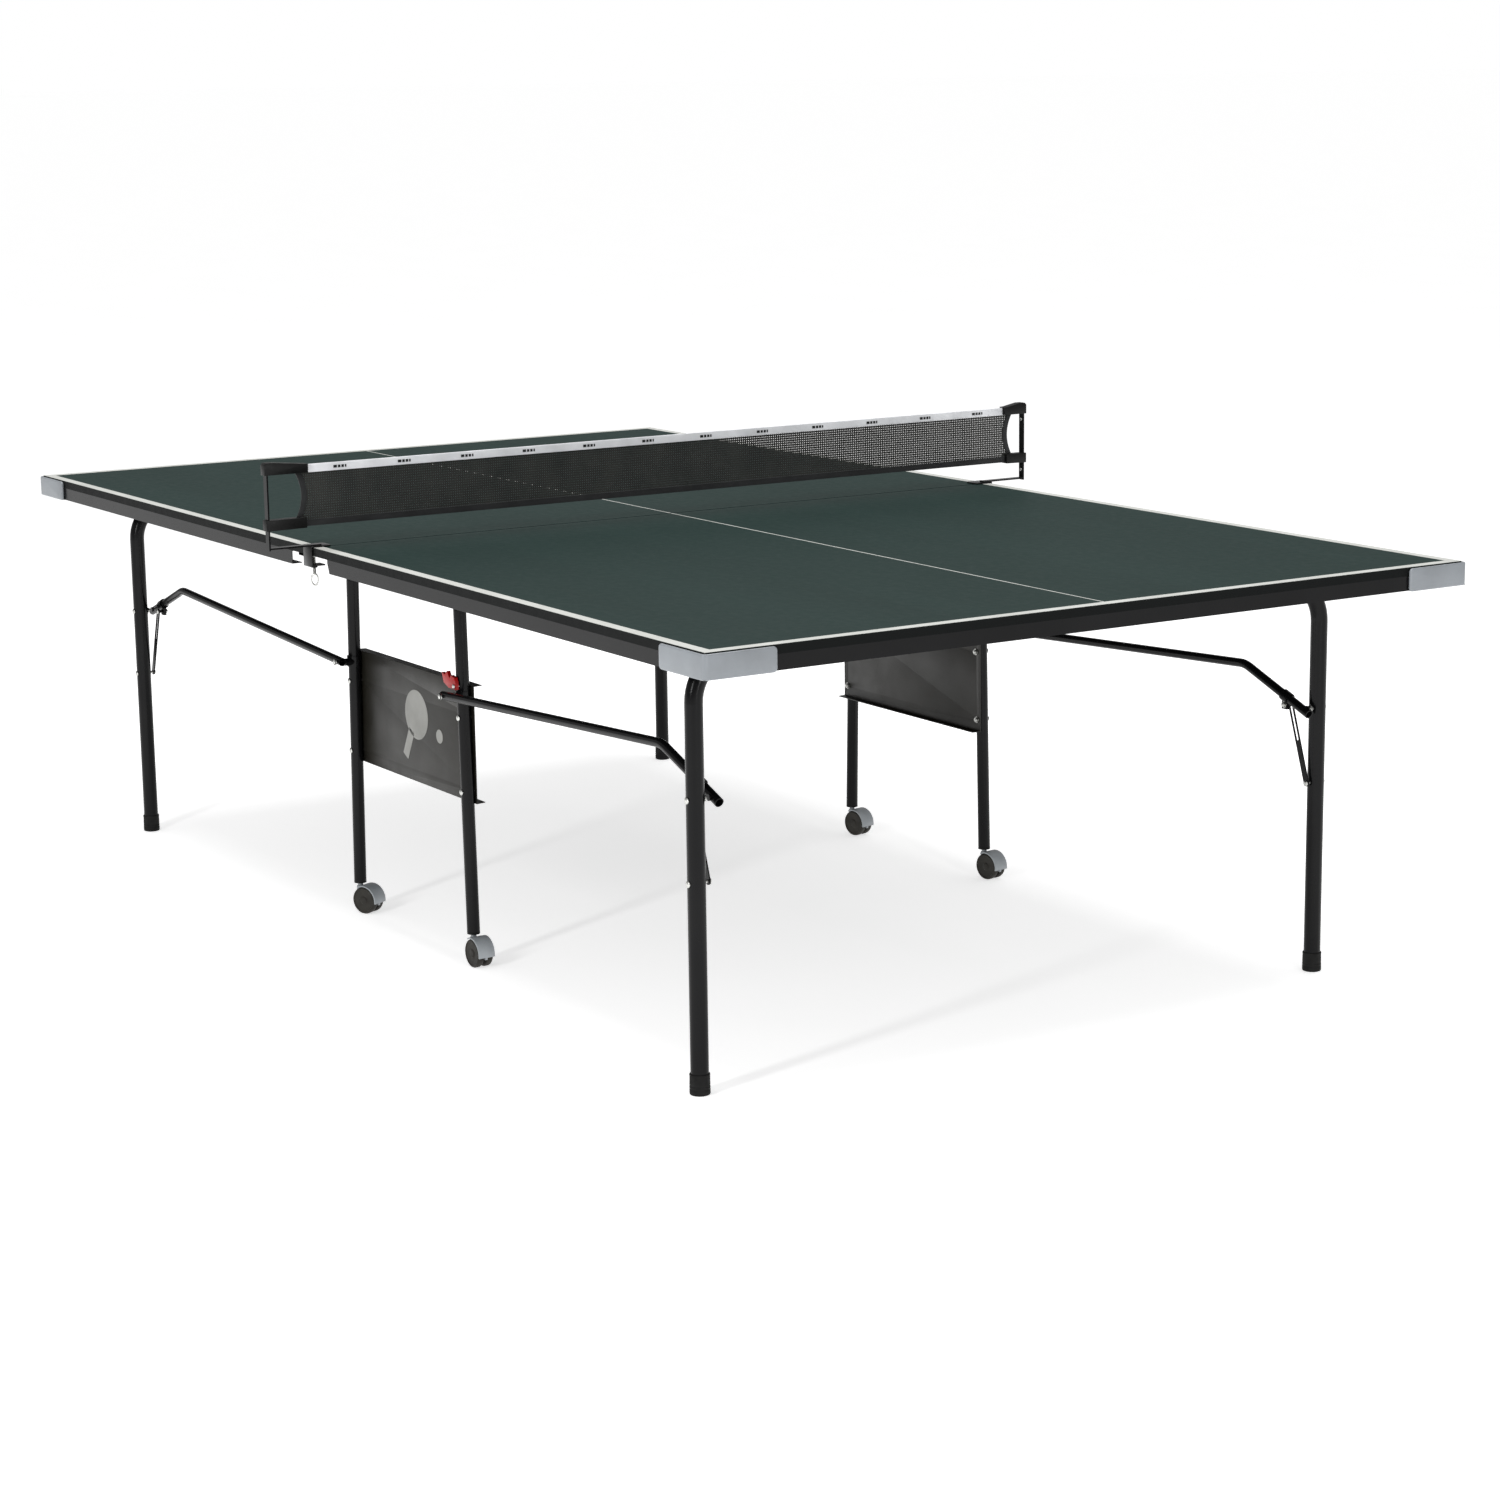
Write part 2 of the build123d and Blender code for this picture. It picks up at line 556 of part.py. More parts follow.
def net_side_tape(end):
    """The bowed tape that closes one end of the net, drawn on the back side."""
    reach = NET_REACH[end]
    low = NET_BOTTOM_Z + HEM_H + 5.2
    high = NET_TOP_Z - BAND_H + 0.3
    mid = (low + high) / 2
    inner = ThreePointArc((reach + 12, low), (reach + 1, mid), (reach + 12, high))
    outer = ThreePointArc((reach + 12 + TAPE_W, high), (reach + 1 + TAPE_W, mid), (reach + 12 + TAPE_W, low))
    ring = Wire([inner, Line(inner @ 1, outer @ 0), outer, Line(outer @ 1, inner @ 0)])
    return extrude(Plane.YZ * make_face(ring), BAND_T / 2, both=True)


def net_clips(end):
    """The moulded clips of one post, drawn on the back side: an upper one with a sloped nose, and a lower."""
    nose = NET_REACH[end] + 0.2
    back = POST_Y + POST_T + 4
    under = NET_TOP_Z - BAND_H + 0.6
    upper = Polyline(
        (nose, under), (nose, NET_TOP_Z + 1.5), (nose + 8, NET_TOP_Z + 2), (POST_Y - 10, NET_TOP_Z + 8),
        (back - 4, NET_TOP_Z + 8), (back, NET_TOP_Z + 4), (back, under), close=True,
    )
    top = NET_BOTTOM_Z + HEM_H + 5
    start = NET_REACH[end] + 6.2
    lower = Polyline(
        (start, NET_BOTTOM_Z - 2), (back, NET_BOTTOM_Z - 3), (back, top), (start, top), close=True,
    )
    slot = block(-POST_W / 2, POST_W / 2, POST_Y, POST_Y + POST_T, 700, NET_TOP_Z + 4)
    clips = []
    for outline in (upper, lower):
        clip = extrude(Plane.YZ * make_face(outline), POST_W / 2 + 2, both=True)
        clips.append(clip - slot)
    return clips


def post():
    """The back post: a flat steel strip that stands up from a foot bar above the board's edge."""
    foot_z = HEIGHT + 1.0
    upright = block(-POST_W / 2, POST_W / 2, POST_Y, POST_Y + POST_T, foot_z, NET_TOP_Z + 4)
    edge = WIDTH / 2 + CLAMP_GAP + SHEET_T
    foot = block(-POST_W / 2, POST_W / 2, edge - 20, POST_Y + POST_T, foot_z + 2.0, foot_z + 2.0 + POST_T)
    return upright + foot


def clamp_plate():
    """The folded clamp plate at the back edge: a pad on the boards and a cheek outside them."""
    x0, x1 = CLAMP_X
    edge = WIDTH / 2
    outside = edge + CLAMP_GAP + 2.0
    pad = block(x0, x1, edge - CLAMP_INSET, outside, HEIGHT, HEIGHT + 3.0)
    cheek = block(x0, x1, edge + CLAMP_GAP, outside, HEIGHT - CLAMP_DROP, HEIGHT + 3.0)
    return fillet(pad.edges().filter_by(Axis.Z).group_by(Axis.Y)[0], 6.0) + cheek


def clamp_jaw():
    """The lower jaw under the west board at the back edge, with a threaded boss."""
    x0 = CLAMP_X[0]
    x1 = -HALF_GAP - 2.6
    edge = WIDTH / 2
    tongue = block(x0, x1, edge - CLAMP_INSET + 8, edge + CLAMP_GAP - 0.4, JAW_Z, JAW_Z + 2.5)
    mid = (x0 + x1) / 2
    boss = rod_z(mid, SCREW_Y, JAW_Z - 3.5, JAW_Z, 6.0)
    return tongue + boss - rod_z(mid, SCREW_Y, JAW_Z - 5, JAW_Z + 5, SCREW_R + PIN_CLEARANCE)


def clamp_screw():
    """The clamp screw of the back jaw, with a pressure pad and a wire ring to turn it by."""
    x = (CLAMP_X[0] - HALF_GAP - 2.6) / 2
    shank = rod_z(x, SCREW_Y, RING_Z + 10, UNDERSIDE - 4, SCREW_R)
    cup = rod_z(x, SCREW_Y, UNDERSIDE - 4, UNDERSIDE - 0.3, 6.0)
    turn = radians(RING_TURN)
    flat = (cos(turn), sin(turn), 0)
    ring = Plane(origin=(x, SCREW_Y, RING_Z), x_dir=flat, z_dir=(sin(turn), -cos(turn), 0))
    outer = extrude(ring * Ellipse(7.5, 11.5), 1.3, both=True)
    inner = extrude(ring * Ellipse(4.9, 8.9), 3, both=True)
    return shank + cup + (outer - inner)


def rivet(z):
    """A rivet head on the inner face of the back post."""
    return rod_y(0, z, POST_Y - 1.6, POST_Y, 3.4)


# ---- write the nodes ----
for word, sx in SIDES.items():
    save(f"board_{word}", mirrored(board(), sx, 1))
    front = side_rail(slanted=sx > 0)
    back = mirrored(side_rail(slanted=sx < 0), 1, -1)
    save(f"side_rails_{word}", mirrored(front, sx, 1), mirrored(back, sx, 1))
    save(f"end_rail_{word}", mirrored(end_rail(), sx, 1))
    rails = [cross_rail(INNER_RAIL_X, 12.0), cross_rail(OUTER_RAIL_X, 12.0)]
    save(f"cross_rails_{word}", *[mirrored(rail, sx, 1) for rail in rails])
    save(f"corner_pads_{word}", *[mirrored(corner_pad(), sx, sy) for sy in (-1, 1)])
    save(f"top_hinges_{word}", *[mirrored(clevis(TOP_PIVOT_X, TOP_PIVOT_Z), sx, sy) for sy in (-1, 1)])
    save(f"leg_hinges_{word}", *[mirrored(clevis(LEG_PIVOT_X, LEG_TOP_Z), sx, sy) for sy in (-1, 1)])
    save(f"board_screws_{word}", *[mirrored(head, sx, 1) for head in board_screws()])
    save(f"leg_hoop_{word}", mirrored(leg_hoop(), sx, 1))
    save(f"foot_caps_{word}", *[mirrored(foot_cap(), sx, sy) for sy in (-1, 1)])
    bolts = [mirrored(bolt, sx, sy) for sy in (-1, 1) for bolt in leg_bolts()]
    save(f"leg_bolts_{word}", *bolts)
    save(f"inner_hoop_{word}", mirrored(inner_hoop(), sx, 1))
    save(f"latch_{word}", mirrored(latch(), sx, -sx))

for word, sx, end, sy in CORNERS:
    corner = f"{word}_{end}"
    save(f"brace_{corner}", mirrored(brace(), sx, sy))
    save(f"brace_pins_{corner}", *[mirrored(item, sx, sy) for item in brace_hardware()])
    save(f"stay_{corner}", mirrored(stay(), sx, sy))
    place = caster_frame(sx, sy, CASTER_TURNS[corner])
    save(f"caster_hood_{corner}", place * caster_hood())
    save(f"caster_wheels_{corner}", place * caster_wheel(-1), place * caster_wheel(1))


save("side_panels", *[mirrored(side_panel(), 1, sy) for sy in (-1, 1)])
save("panel_bolts", *[mirrored(panel_bolt(z), sx, sy) for z in PANEL_BOLT_Z for _, sx, _, sy in CORNERS],
     *[mirrored(latch_screw(), sx, -sx) for sx in (-1, 1)])
save("brace_brackets", *[mirrored(brace_bracket(), sx, sy) for _, sx, _, sy in CORNERS])
save("caster_sockets", *[mirrored(caster_socket(), sx, sy) for _, sx, _, sy in CORNERS])
save("net", net_sheet())
save("net_band", net_band())
save("net_hem", net_bottom_tape(), *[mirrored(net_side_tape(end), 1, sy) for end, sy in ENDS.items()])
save("net_clips", *[mirrored(clip, 1, sy) for end, sy in ENDS.items() for clip in net_clips(end)])
save("post_rivets", *[mirrored(rivet(z), 1, sy) for z in RIVET_Z for sy in (-1, 1)])
save("net_posts", *[mirrored(post(), 1, sy) for sy in (-1, 1)])
save("clamp_plates", *[mirrored(clamp_plate(), 1, sy) for sy in (-1, 1)])
save("clamp_jaws", *[mirrored(clamp_jaw(), 1, sy) for sy in (-1, 1)])
save("clamp_screw_front", mirrored(clamp_screw(), 1, -1))
save("clamp_screw_back", clamp_screw())
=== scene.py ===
# %% [markdown]
# A folding ping pong table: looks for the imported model
#
# The table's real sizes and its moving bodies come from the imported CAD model. This lesson keeps that frame
# as it is, gives each part its finish, and makes in mesh code the pieces whose detail the CAD leaves plain:
# the net and its tapes, the casters, the corner guards, the bolts and the catches.
# +X runs along the table, +Y across it and +Z up, in metres, with the origin on the floor under the net.

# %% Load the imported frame
import json
import math

import bmesh
import bpy
from mathutils import Matrix, Vector


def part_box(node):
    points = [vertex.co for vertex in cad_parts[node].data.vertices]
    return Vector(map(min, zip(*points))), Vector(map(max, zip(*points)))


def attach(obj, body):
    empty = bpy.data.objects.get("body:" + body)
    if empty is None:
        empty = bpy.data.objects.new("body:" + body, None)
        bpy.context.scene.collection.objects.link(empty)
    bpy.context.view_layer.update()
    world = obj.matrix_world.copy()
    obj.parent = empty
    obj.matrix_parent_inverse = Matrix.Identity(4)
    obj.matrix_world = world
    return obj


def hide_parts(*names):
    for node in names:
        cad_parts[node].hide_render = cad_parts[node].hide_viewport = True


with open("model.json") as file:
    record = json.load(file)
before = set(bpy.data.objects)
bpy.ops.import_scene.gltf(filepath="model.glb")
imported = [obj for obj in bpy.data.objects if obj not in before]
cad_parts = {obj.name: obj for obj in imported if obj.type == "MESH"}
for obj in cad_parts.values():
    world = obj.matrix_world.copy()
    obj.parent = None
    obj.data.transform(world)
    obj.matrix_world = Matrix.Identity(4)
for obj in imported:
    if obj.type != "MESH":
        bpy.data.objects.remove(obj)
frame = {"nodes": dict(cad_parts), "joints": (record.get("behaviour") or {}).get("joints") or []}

scene = bpy.context.scene
nodes = frame["nodes"]
joints = {joint["name"]: joint for joint in frame["joints"]}
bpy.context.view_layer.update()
MM = 0.001
SIDES = {"west": -1, "east": 1}
ENDS = {"front": -1, "back": 1}
CORNERS = [(w, sx, e, sy) for w, sx in SIDES.items() for e, sy in ENDS.items()]

# %% [markdown]
# The camera stands at the near corner, a little above the tops, as a buyer would first see the table.
# A long lens keeps the long edges nearly parallel. The small roll is that of a hand-held camera.

# %% Camera
LENS_MM = 79.40
ROLL_DEG = -0.764
camera_data = bpy.data.cameras.new("camera")
camera_data.lens = LENS_MM
camera_data.sensor_width = 36.0
camera = bpy.data.objects.new("camera", camera_data)
scene.collection.objects.link(camera)
camera.location = (5.47884, -3.26287, 1.60857)
look = Vector((-0.82955, 0.52035, -0.20267)).to_track_quat("-Z", "Y").to_matrix().to_4x4()
roll = Matrix.Rotation(math.radians(ROLL_DEG), 4, "Z")
camera.matrix_world = Matrix.Translation(camera.location) @ look @ roll
scene.camera = camera
print("camera at", [round(c, 2) for c in camera.location])

# %% [markdown]
# A finish here is a small node graph: a base colour that drifts between two close shades, a roughness that
# drifts with it, and a fine bump. All of it reads Object coordinates, so the grain has its real size in
# metres and doesn't slide when a body moves. One builder makes all the plain finishes, because moulded
# plastic, powder coat and plated steel differ in their numbers and not in their make-up.

# %% Finish builder
def shade(r, g, b):
    """A screen colour of 0 to 255 as the linear colour that shaders use."""
    return tuple(((c / 255 + 0.055) / 1.055) ** 2.4 if c > 10 else c / 255 / 12.92
                 for c in (r, g, b)) + (1.0,)


def fresh_finish(name):
    """A new material with its node tree and its main shader."""
    material = bpy.data.materials.new(name)
    material.use_nodes = True
    tree = material.node_tree
    return material, tree, tree.nodes["Principled BSDF"]


def grain(tree, scale, detail=3.0, stretch=(1, 1, 1)):
    """A noise on Object coordinates. scale is in blobs per metre."""
    place = tree.nodes.new("ShaderNodeTexCoord")
    mapping = tree.nodes.new("ShaderNodeMapping")
    mapping.inputs["Scale"].default_value = stretch
    noise = tree.nodes.new("ShaderNodeTexNoise")
    noise.inputs["Scale"].default_value = scale
    noise.inputs["Detail"].default_value = detail
    tree.links.new(place.outputs["Object"], mapping.inputs["Vector"])
    tree.links.new(mapping.outputs["Vector"], noise.inputs["Vector"])
    return noise.outputs["Fac"]


def spread(tree, factor, low, high, start=0.3, end=0.7):
    """Maps a noise to a range of numbers."""
    node = tree.nodes.new("ShaderNodeMapRange")
    node.inputs["From Min"].default_value = start
    node.inputs["From Max"].default_value = end
    node.inputs["To Min"].default_value = low
    node.inputs["To Max"].default_value = high
    tree.links.new(factor, node.inputs["Value"])
    return node.outputs["Result"]


def two_shades(tree, factor, dark, light, start=0.3, end=0.7):
    """Maps a noise to a blend of two colours."""
    ramp = tree.nodes.new("ShaderNodeValToRGB")
    ramp.color_ramp.elements[0].position = start
    ramp.color_ramp.elements[1].position = end
    ramp.color_ramp.elements[0].color = dark
    ramp.color_ramp.elements[1].color = light
    tree.links.new(factor, ramp.inputs["Fac"])
    return ramp.outputs["Color"]


def relief(tree, shader, height, depth, strength=1.0):
    """Turns a height pattern into bump. depth is in metres."""
    bump = tree.nodes.new("ShaderNodeBump")
    bump.inputs["Strength"].default_value = strength
    bump.inputs["Distance"].default_value = depth
    tree.links.new(height, bump.inputs["Height"])
    tree.links.new(bump.outputs["Normal"], shader.inputs["Normal"])


def plain_finish(name, dark, light, rough, blobs, fine, depth, metal=0.0, stretch=(1, 1, 1), gloss=0.5):
    """A finish of two close shades with drifting roughness and a fine grain."""
    material, tree, shader = fresh_finish(name)
    broad = grain(tree, blobs, 4.0, stretch)
    tree.links.new(two_shades(tree, broad, dark, light), shader.inputs["Base Color"])
    smudge = grain(tree, blobs * 3, 5.0, stretch)
    tree.links.new(spread(tree, smudge, rough[0], rough[1]), shader.inputs["Roughness"])
    relief(tree, shader, grain(tree, fine, 2.0, stretch), depth)
    shader.inputs["Metallic"].default_value = metal
    shader.inputs["Specular IOR Level"].default_value = gloss
    return material


# %% [markdown]
# The steel tubes and rails are powder coated in black. Powder coat has a faint orange-peel skin and a soft
# gloss, so a tube shows thin bright streaks along it where it mirrors a window.
# The plated bolts are bright with a fine brushed grain. The moulded parts have a sparked mould texture.

# %% Plain finishes
black_coat = plain_finish("black powder coat", shade(9, 9, 10), shade(15, 15, 16), (0.14, 0.24), 7, 900,
                          0.00005,
                          gloss=0.15)
panel_coat = plain_finish("panel powder coat", shade(24, 23, 19), shade(33, 31, 26), (0.34, 0.46), 5, 700,
                          0.00008,
                          gloss=0.3)
silver_mould = plain_finish("silver guard plastic", shade(122, 126, 130), shade(136, 141, 146), (0.3, 0.42),
                            14, 1100,
                            0.00006)
grey_mould = plain_finish("grey hood plastic", shade(140, 145, 149), shade(160, 165, 169), (0.3, 0.42), 25,
                          1400,
                          0.00004)
wheel_mould = plain_finish("wheel plastic", shade(34, 32, 28), shade(48, 46, 41), (0.42, 0.62), 40, 1300,
                           0.00008,
                           gloss=0.25)
black_rubber = plain_finish("foot rubber", shade(13, 13, 13), shade(22, 22, 21), (0.6, 0.8), 30, 1200,
                            0.00012,
                            gloss=0.2)
black_mould = plain_finish("black clip plastic", shade(9, 9, 9), shade(15, 15, 15), (0.35, 0.5), 30, 1300,
                           0.00005,
                           gloss=0.18)
red_mould = plain_finish("red catch plastic", shade(150, 8, 8), shade(170, 12, 10), (0.28, 0.4), 35, 1300,
                         0.00005,
                         gloss=0.3)
zinc = plain_finish("zinc plate", shade(176, 177, 174), shade(208, 208, 204), (0.22, 0.38), 60, 2400, 0.00003,
                    metal=1.0, stretch=(1, 1, 4))
pale_print = plain_finish("grey panel print", shade(128, 128, 124), shade(144, 144, 140), (0.5, 0.6), 20,
                          900, 0.00004)
print("plain finishes:", len(bpy.data.materials))


# %% [markdown]
# The playing board is chipboard with a matte green lacquer, rolled on in thin coats. Up close it is a fine
# even tooth that stops glare and grips the ball, with very faint roller bands along the length and small
# scuffs where balls and bats have touched. Its sawn edge is sealed in a darker coat.
# The sides are told from the top by the surface's own direction.

# %% Board lacquer
def board_lacquer():
    """Matte green lacquer with faint bands and scuffs, darker at the sealed edges."""
    material, tree, shader = fresh_finish("green board lacquer")
    bands = grain(tree, 5, 2.0, (0.15, 1.2, 1))
    green = two_shades(tree, bands, shade(25, 42, 39), shade(29, 47, 44), 0.2, 0.8)
    scuffs = grain(tree, 55, 8.0, (1, 1.4, 1))
    worn = tree.nodes.new("ShaderNodeMix")
    worn.data_type = "RGBA"
    worn.inputs["B"].default_value = shade(36, 55, 51)
    tree.links.new(spread(tree, scuffs, 0.0, 0.4, 0.62, 0.8), worn.inputs["Factor"])
    tree.links.new(green, worn.inputs["A"])
    facing = tree.nodes.new("ShaderNodeTexCoord")
    split = tree.nodes.new("ShaderNodeSeparateXYZ")
    tree.links.new(facing.outputs["Normal"], split.inputs["Vector"])
    edge = tree.nodes.new("ShaderNodeMix")
    edge.data_type = "RGBA"
    edge.inputs["A"].default_value = shade(15, 17, 17)
    tree.links.new(spread(tree, split.outputs["Z"], 0.0, 1.0, 0.5, 0.9), edge.inputs["Factor"])
    tree.links.new(worn.outputs["Result"], edge.inputs["B"])
    tree.links.new(edge.outputs["Result"], shader.inputs["Base Color"])
    tree.links.new(spread(tree, scuffs, 0.5, 0.56), shader.inputs["Roughness"])
    relief(tree, shader, grain(tree, 1500, 2.0), 0.00006, 0.6)
    shader.inputs["Specular IOR Level"].default_value = 0.06
    return material


board_finish = board_lacquer()
line_finish = plain_finish("white line paint", shade(184, 185, 180), shade(198, 199, 195), (0.45, 0.6), 12,
                           1300,
                           0.00006)
print("board finish:", board_finish.name)


# %% [markdown]
# The net's cloth parts want thread, not grain. Two crossed waves make a plain weave at thread size. The white
# top tape is bleached cotton and the other tapes are black nylon, so one builder serves both.

# %% Woven finishes
def woven_finish(name, dark, light, pitch, rough):
    """A plain weave of two crossed thread patterns in the plane of the net."""
    material, tree, shader = fresh_finish(name)
    place = tree.nodes.new("ShaderNodeTexCoord")
    waves = []
    for direction in ("Y", "Z"):
        wave = tree.nodes.new("ShaderNodeTexWave")
        wave.bands_direction = direction
        wave.inputs["Scale"].default_value = math.pi / 10 / pitch
        wave.inputs["Distortion"].default_value = 0.6
        tree.links.new(place.outputs["Object"], wave.inputs["Vector"])
        waves.append(wave.outputs["Fac"])
    cross = tree.nodes.new("ShaderNodeMath")
    cross.operation = "MULTIPLY"
    tree.links.new(waves[0], cross.inputs[0])
    tree.links.new(waves[1], cross.inputs[1])
    soil = two_shades(tree, grain(tree, 18, 5.0), dark, light)
    thread = tree.nodes.new("ShaderNodeMix")
    thread.data_type = "RGBA"
    thread.blend_type = "MULTIPLY"
    thread.inputs["B"].default_value = (0.8, 0.8, 0.8, 1)
    tree.links.new(spread(tree, cross.outputs[0], 0.6, 0.0, 0.0, 0.5), thread.inputs["Factor"])
    tree.links.new(soil, thread.inputs["A"])
    tree.links.new(thread.outputs["Result"], shader.inputs["Base Color"])
    tree.links.new(spread(tree, grain(tree, 30), rough[0], rough[1]), shader.inputs["Roughness"])
    relief(tree, shader, cross.outputs[0], 0.00015)
    shader.inputs["Sheen Weight"].default_value = 0.1
    shader.inputs["Specular IOR Level"].default_value = 0.25
    return material


white_weave = woven_finish("white cotton tape", shade(212, 213, 216), shade(236, 237, 240), 0.0009,
                           (0.75, 0.9))
black_weave = woven_finish("black nylon tape", shade(20, 21, 22), shade(33, 34, 35), 0.0011, (0.55, 0.75))
net_cord = woven_finish("net cord", shade(30, 31, 29), shade(44, 44, 41), 0.0006, (0.6, 0.8))
print("woven finishes made")

# %% [markdown]
# Every CAD part that keeps its own shape gets one of these finishes. The name of a part says what it is made
# of, so a short list of beginnings is enough. Parts that are replaced further down are simply covered there.

# %% Dress the CAD parts
DRESS = {
    "board_screws": zinc, "board_": board_finish, "side_panels": panel_coat, "corner_pads": silver_mould,
    "caster_hood": grey_mould, "caster_wheels": wheel_mould, "caster_sockets": black_mould,
    "foot_caps": black_rubber, "latch": red_mould, "stay": black_coat, "leg_bolts": zinc, "panel_bolts": zinc,
    "post_rivets": zinc, "clamp_screw": zinc, "brace_pins": black_coat, "net_band": white_weave,
    "net_clips": black_mould, "net_hem": black_weave, "net_posts": black_coat, "net": net_cord,
}
for name, part in nodes.items():
    fit = [start for start in DRESS if name.startswith(start) or name == start]
    material = DRESS[max(fit, key=len)] if fit else black_coat
    part.data.materials.clear()
    part.data.materials.append(material)
print("dressed", len(nodes), "CAD parts")


# %% [markdown]
# New pieces are built in a bmesh, which is a mesh held open for editing. Four helpers cover nearly all of
# them: a bevelled bar, a turned shape spun round an axis, a softened copy of a CAD part, and the finisher
# that puts the mesh into an object, rides it on its body and hides the CAD parts it stands for.

# %% Piece helpers
def bar(shape, low, high, edge=0.0, steps=2):
    """A box between two corners with rounded edges."""
    low, high = Vector(low), Vector(high)
    grow = Matrix.Diagonal((high - low).to_4d())
    grow[3][3] = 1
    made = bmesh.ops.create_cube(shape, size=1, matrix=Matrix.Translation((low + high) / 2) @ grow)
    corners = made["verts"]
    if edge:
        lines = list({line for vert in corners for line in vert.link_edges})
        made = bmesh.ops.bevel(shape, geom=lines, offset=edge, segments=steps, profile=0.5, affect="EDGES",
                               material=-1, clamp_overlap=True)
        corners = made["verts"]
    return corners


def add_shape(shape, extra):
    """Moves the contents of one bmesh into another."""
    spare = bpy.data.meshes.new("spare")
    extra.to_mesh(spare)
    extra.free()
    shape.from_mesh(spare)
    bpy.data.meshes.remove(spare)


def turned(shape, profile, place, steps=32):
    """A profile of (radius, height) points spun round the place's Z axis."""
    spun = bmesh.new()
    verts = [spun.verts.new((r, 0, h)) for r, h in profile]
    lines = [spun.edges.new(pair) for pair in zip(verts, verts[1:])]
    bmesh.ops.spin(spun, geom=verts + lines, cent=(0, 0, 0), axis=(0, 0, 1), angle=math.tau, steps=steps,
                   use_merge=True)
    bmesh.ops.remove_doubles(spun, verts=spun.verts, dist=1e-6)
    bmesh.ops.transform(spun, matrix=place, verts=spun.verts)
    add_shape(shape, spun)


def along(point, direction):
    """A place whose Z axis points in a direction."""
    return Matrix.Translation(Vector(point)) @ Vector(direction).to_track_quat("Z", "X").to_matrix().to_4x4()


def finish_piece(name, shape, material, body, replaces=(), angle=35, seams_turn=True):
    """Puts a mesh into an object at the origin, with its finish and its body, and hides the CAD parts it
    stands for.
    """
    if seams_turn:
        bmesh.ops.recalc_face_normals(shape, faces=shape.faces)
    mesh = bpy.data.meshes.new(name)
    shape.to_mesh(mesh)
    shape.free()
    mesh.polygons.foreach_set("use_smooth", [True] * len(mesh.polygons))
    mesh.set_sharp_from_angle(angle=math.radians(angle))
    mesh.materials.append(material)
    piece = bpy.data.objects.new(name, mesh)
    scene.collection.objects.link(piece)
    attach(piece, body)
    if replaces:
        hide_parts(*replaces)
    print(name, "faces", len(mesh.polygons))
    return piece


def softened(name, part, material, body, edge, steps=2, angle=28):
    """A copy of a CAD part, merged and with its sharp edges rounded, that stands for the part."""
    shape = bmesh.new()
    shape.from_mesh(nodes[part].data)
    bmesh.ops.remove_doubles(shape, verts=shape.verts, dist=2e-6)
    bmesh.ops.dissolve_limit(shape, angle_limit=math.radians(1), verts=shape.verts, edges=shape.edges)
    limit = math.radians(angle)
    sharp = [line for line in shape.edges if line.is_manifold and line.calc_face_angle(0) > limit]
    bmesh.ops.bevel(shape, geom=sharp, offset=edge, segments=steps, profile=0.5, affect="EDGES", material=-1,
                    clamp_overlap=True)
    return finish_piece(name, shape, material, body, [part], angle=40, seams_turn=False)


# %% [markdown]
# The white lines are paint, 20 mm wide along the edges and 3 mm down the middle for doubles play. They could
# be part of the board's material, but a thin real film keeps a clean edge at every distance, and the board's
# own dark rim shows beside it as it does on a real top. Each half has its own lines, which ride on that
# half's body.

# %% Painted lines
LINE_W = 20 * MM
MIDDLE_W = 3 * MM
RIM = 1.2 * MM
FILM = 0.25 * MM
for side, sx in SIDES.items():
    low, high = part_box(f"board_{side}")
    inner = min(abs(low.x), abs(high.x)) + 0.3 * MM
    outer = max(abs(low.x), abs(high.x)) - RIM
    y_out = high.y - RIM
    top = high.z
    lines = bmesh.new()
    strips = [
        (inner, outer, -y_out, -y_out + LINE_W), (inner, outer, y_out - LINE_W, y_out),
        (outer - LINE_W, outer, -y_out + LINE_W, y_out - LINE_W),
        (inner, outer - LINE_W, -MIDDLE_W / 2, MIDDLE_W / 2),
    ]
    for x0, x1, y0, y1 in strips:
        bar(lines, (min(sx * x0, sx * x1), y0, top - 0.1 * MM), (max(sx * x0, sx * x1), y1, top + FILM))
    finish_piece(f"lines_{side}", lines, line_finish, f"top_{side}")

# %% [markdown]
# The net is flat nylon tape knitted into a square mesh, here about 4.5 mm from cord to cord. At every
# crossing one cord passes over the other, so each cord is a flat strip cut at its crossings and pushed in
# and out by half a cord. That needs only a few faces for each crossing. A picture of holes on a plain sheet
# would be lighter, but it would look flat from the side. The cords run on a little at both ends, into the
# side tapes.

# %% Net
NET_TUCK = 11 * MM
low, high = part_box("net")
low.y -= NET_TUCK
high.y += NET_TUCK
PITCH = 4.5 * MM
CORD_W = 3.0 * MM
CORD_T = 0.4 * MM
WEAVE = 0.15 * MM


def woven_cord(axis, start, end, count, phase):
    """A mesh of one flat cord along an axis, at the net's first row or column, woven over and under."""
    strip = bmesh.new()
    near, far = Vector((-CORD_T / 2, 0, 0)), Vector((CORD_T / 2, 0, 0))
    near[axis], far[axis] = start, end
    near[3 - axis], far[3 - axis] = -CORD_W / 2, CORD_W / 2
    bar(strip, near, far)
    runs = [line for line in strip.edges if abs((line.verts[0].co - line.verts[1].co)[axis]) > CORD_W * 2]
    bmesh.ops.subdivide_edges(strip, edges=runs, cuts=count - 1)
    step = (end - start) / count
    for vert in strip.verts:
        turn = round((vert.co[axis] - start) / step) + phase
        vert.co.x += WEAVE if turn % 2 else -WEAVE
    mesh = bpy.data.meshes.new("cord")
    strip.to_mesh(mesh)
    strip.free()
    return mesh


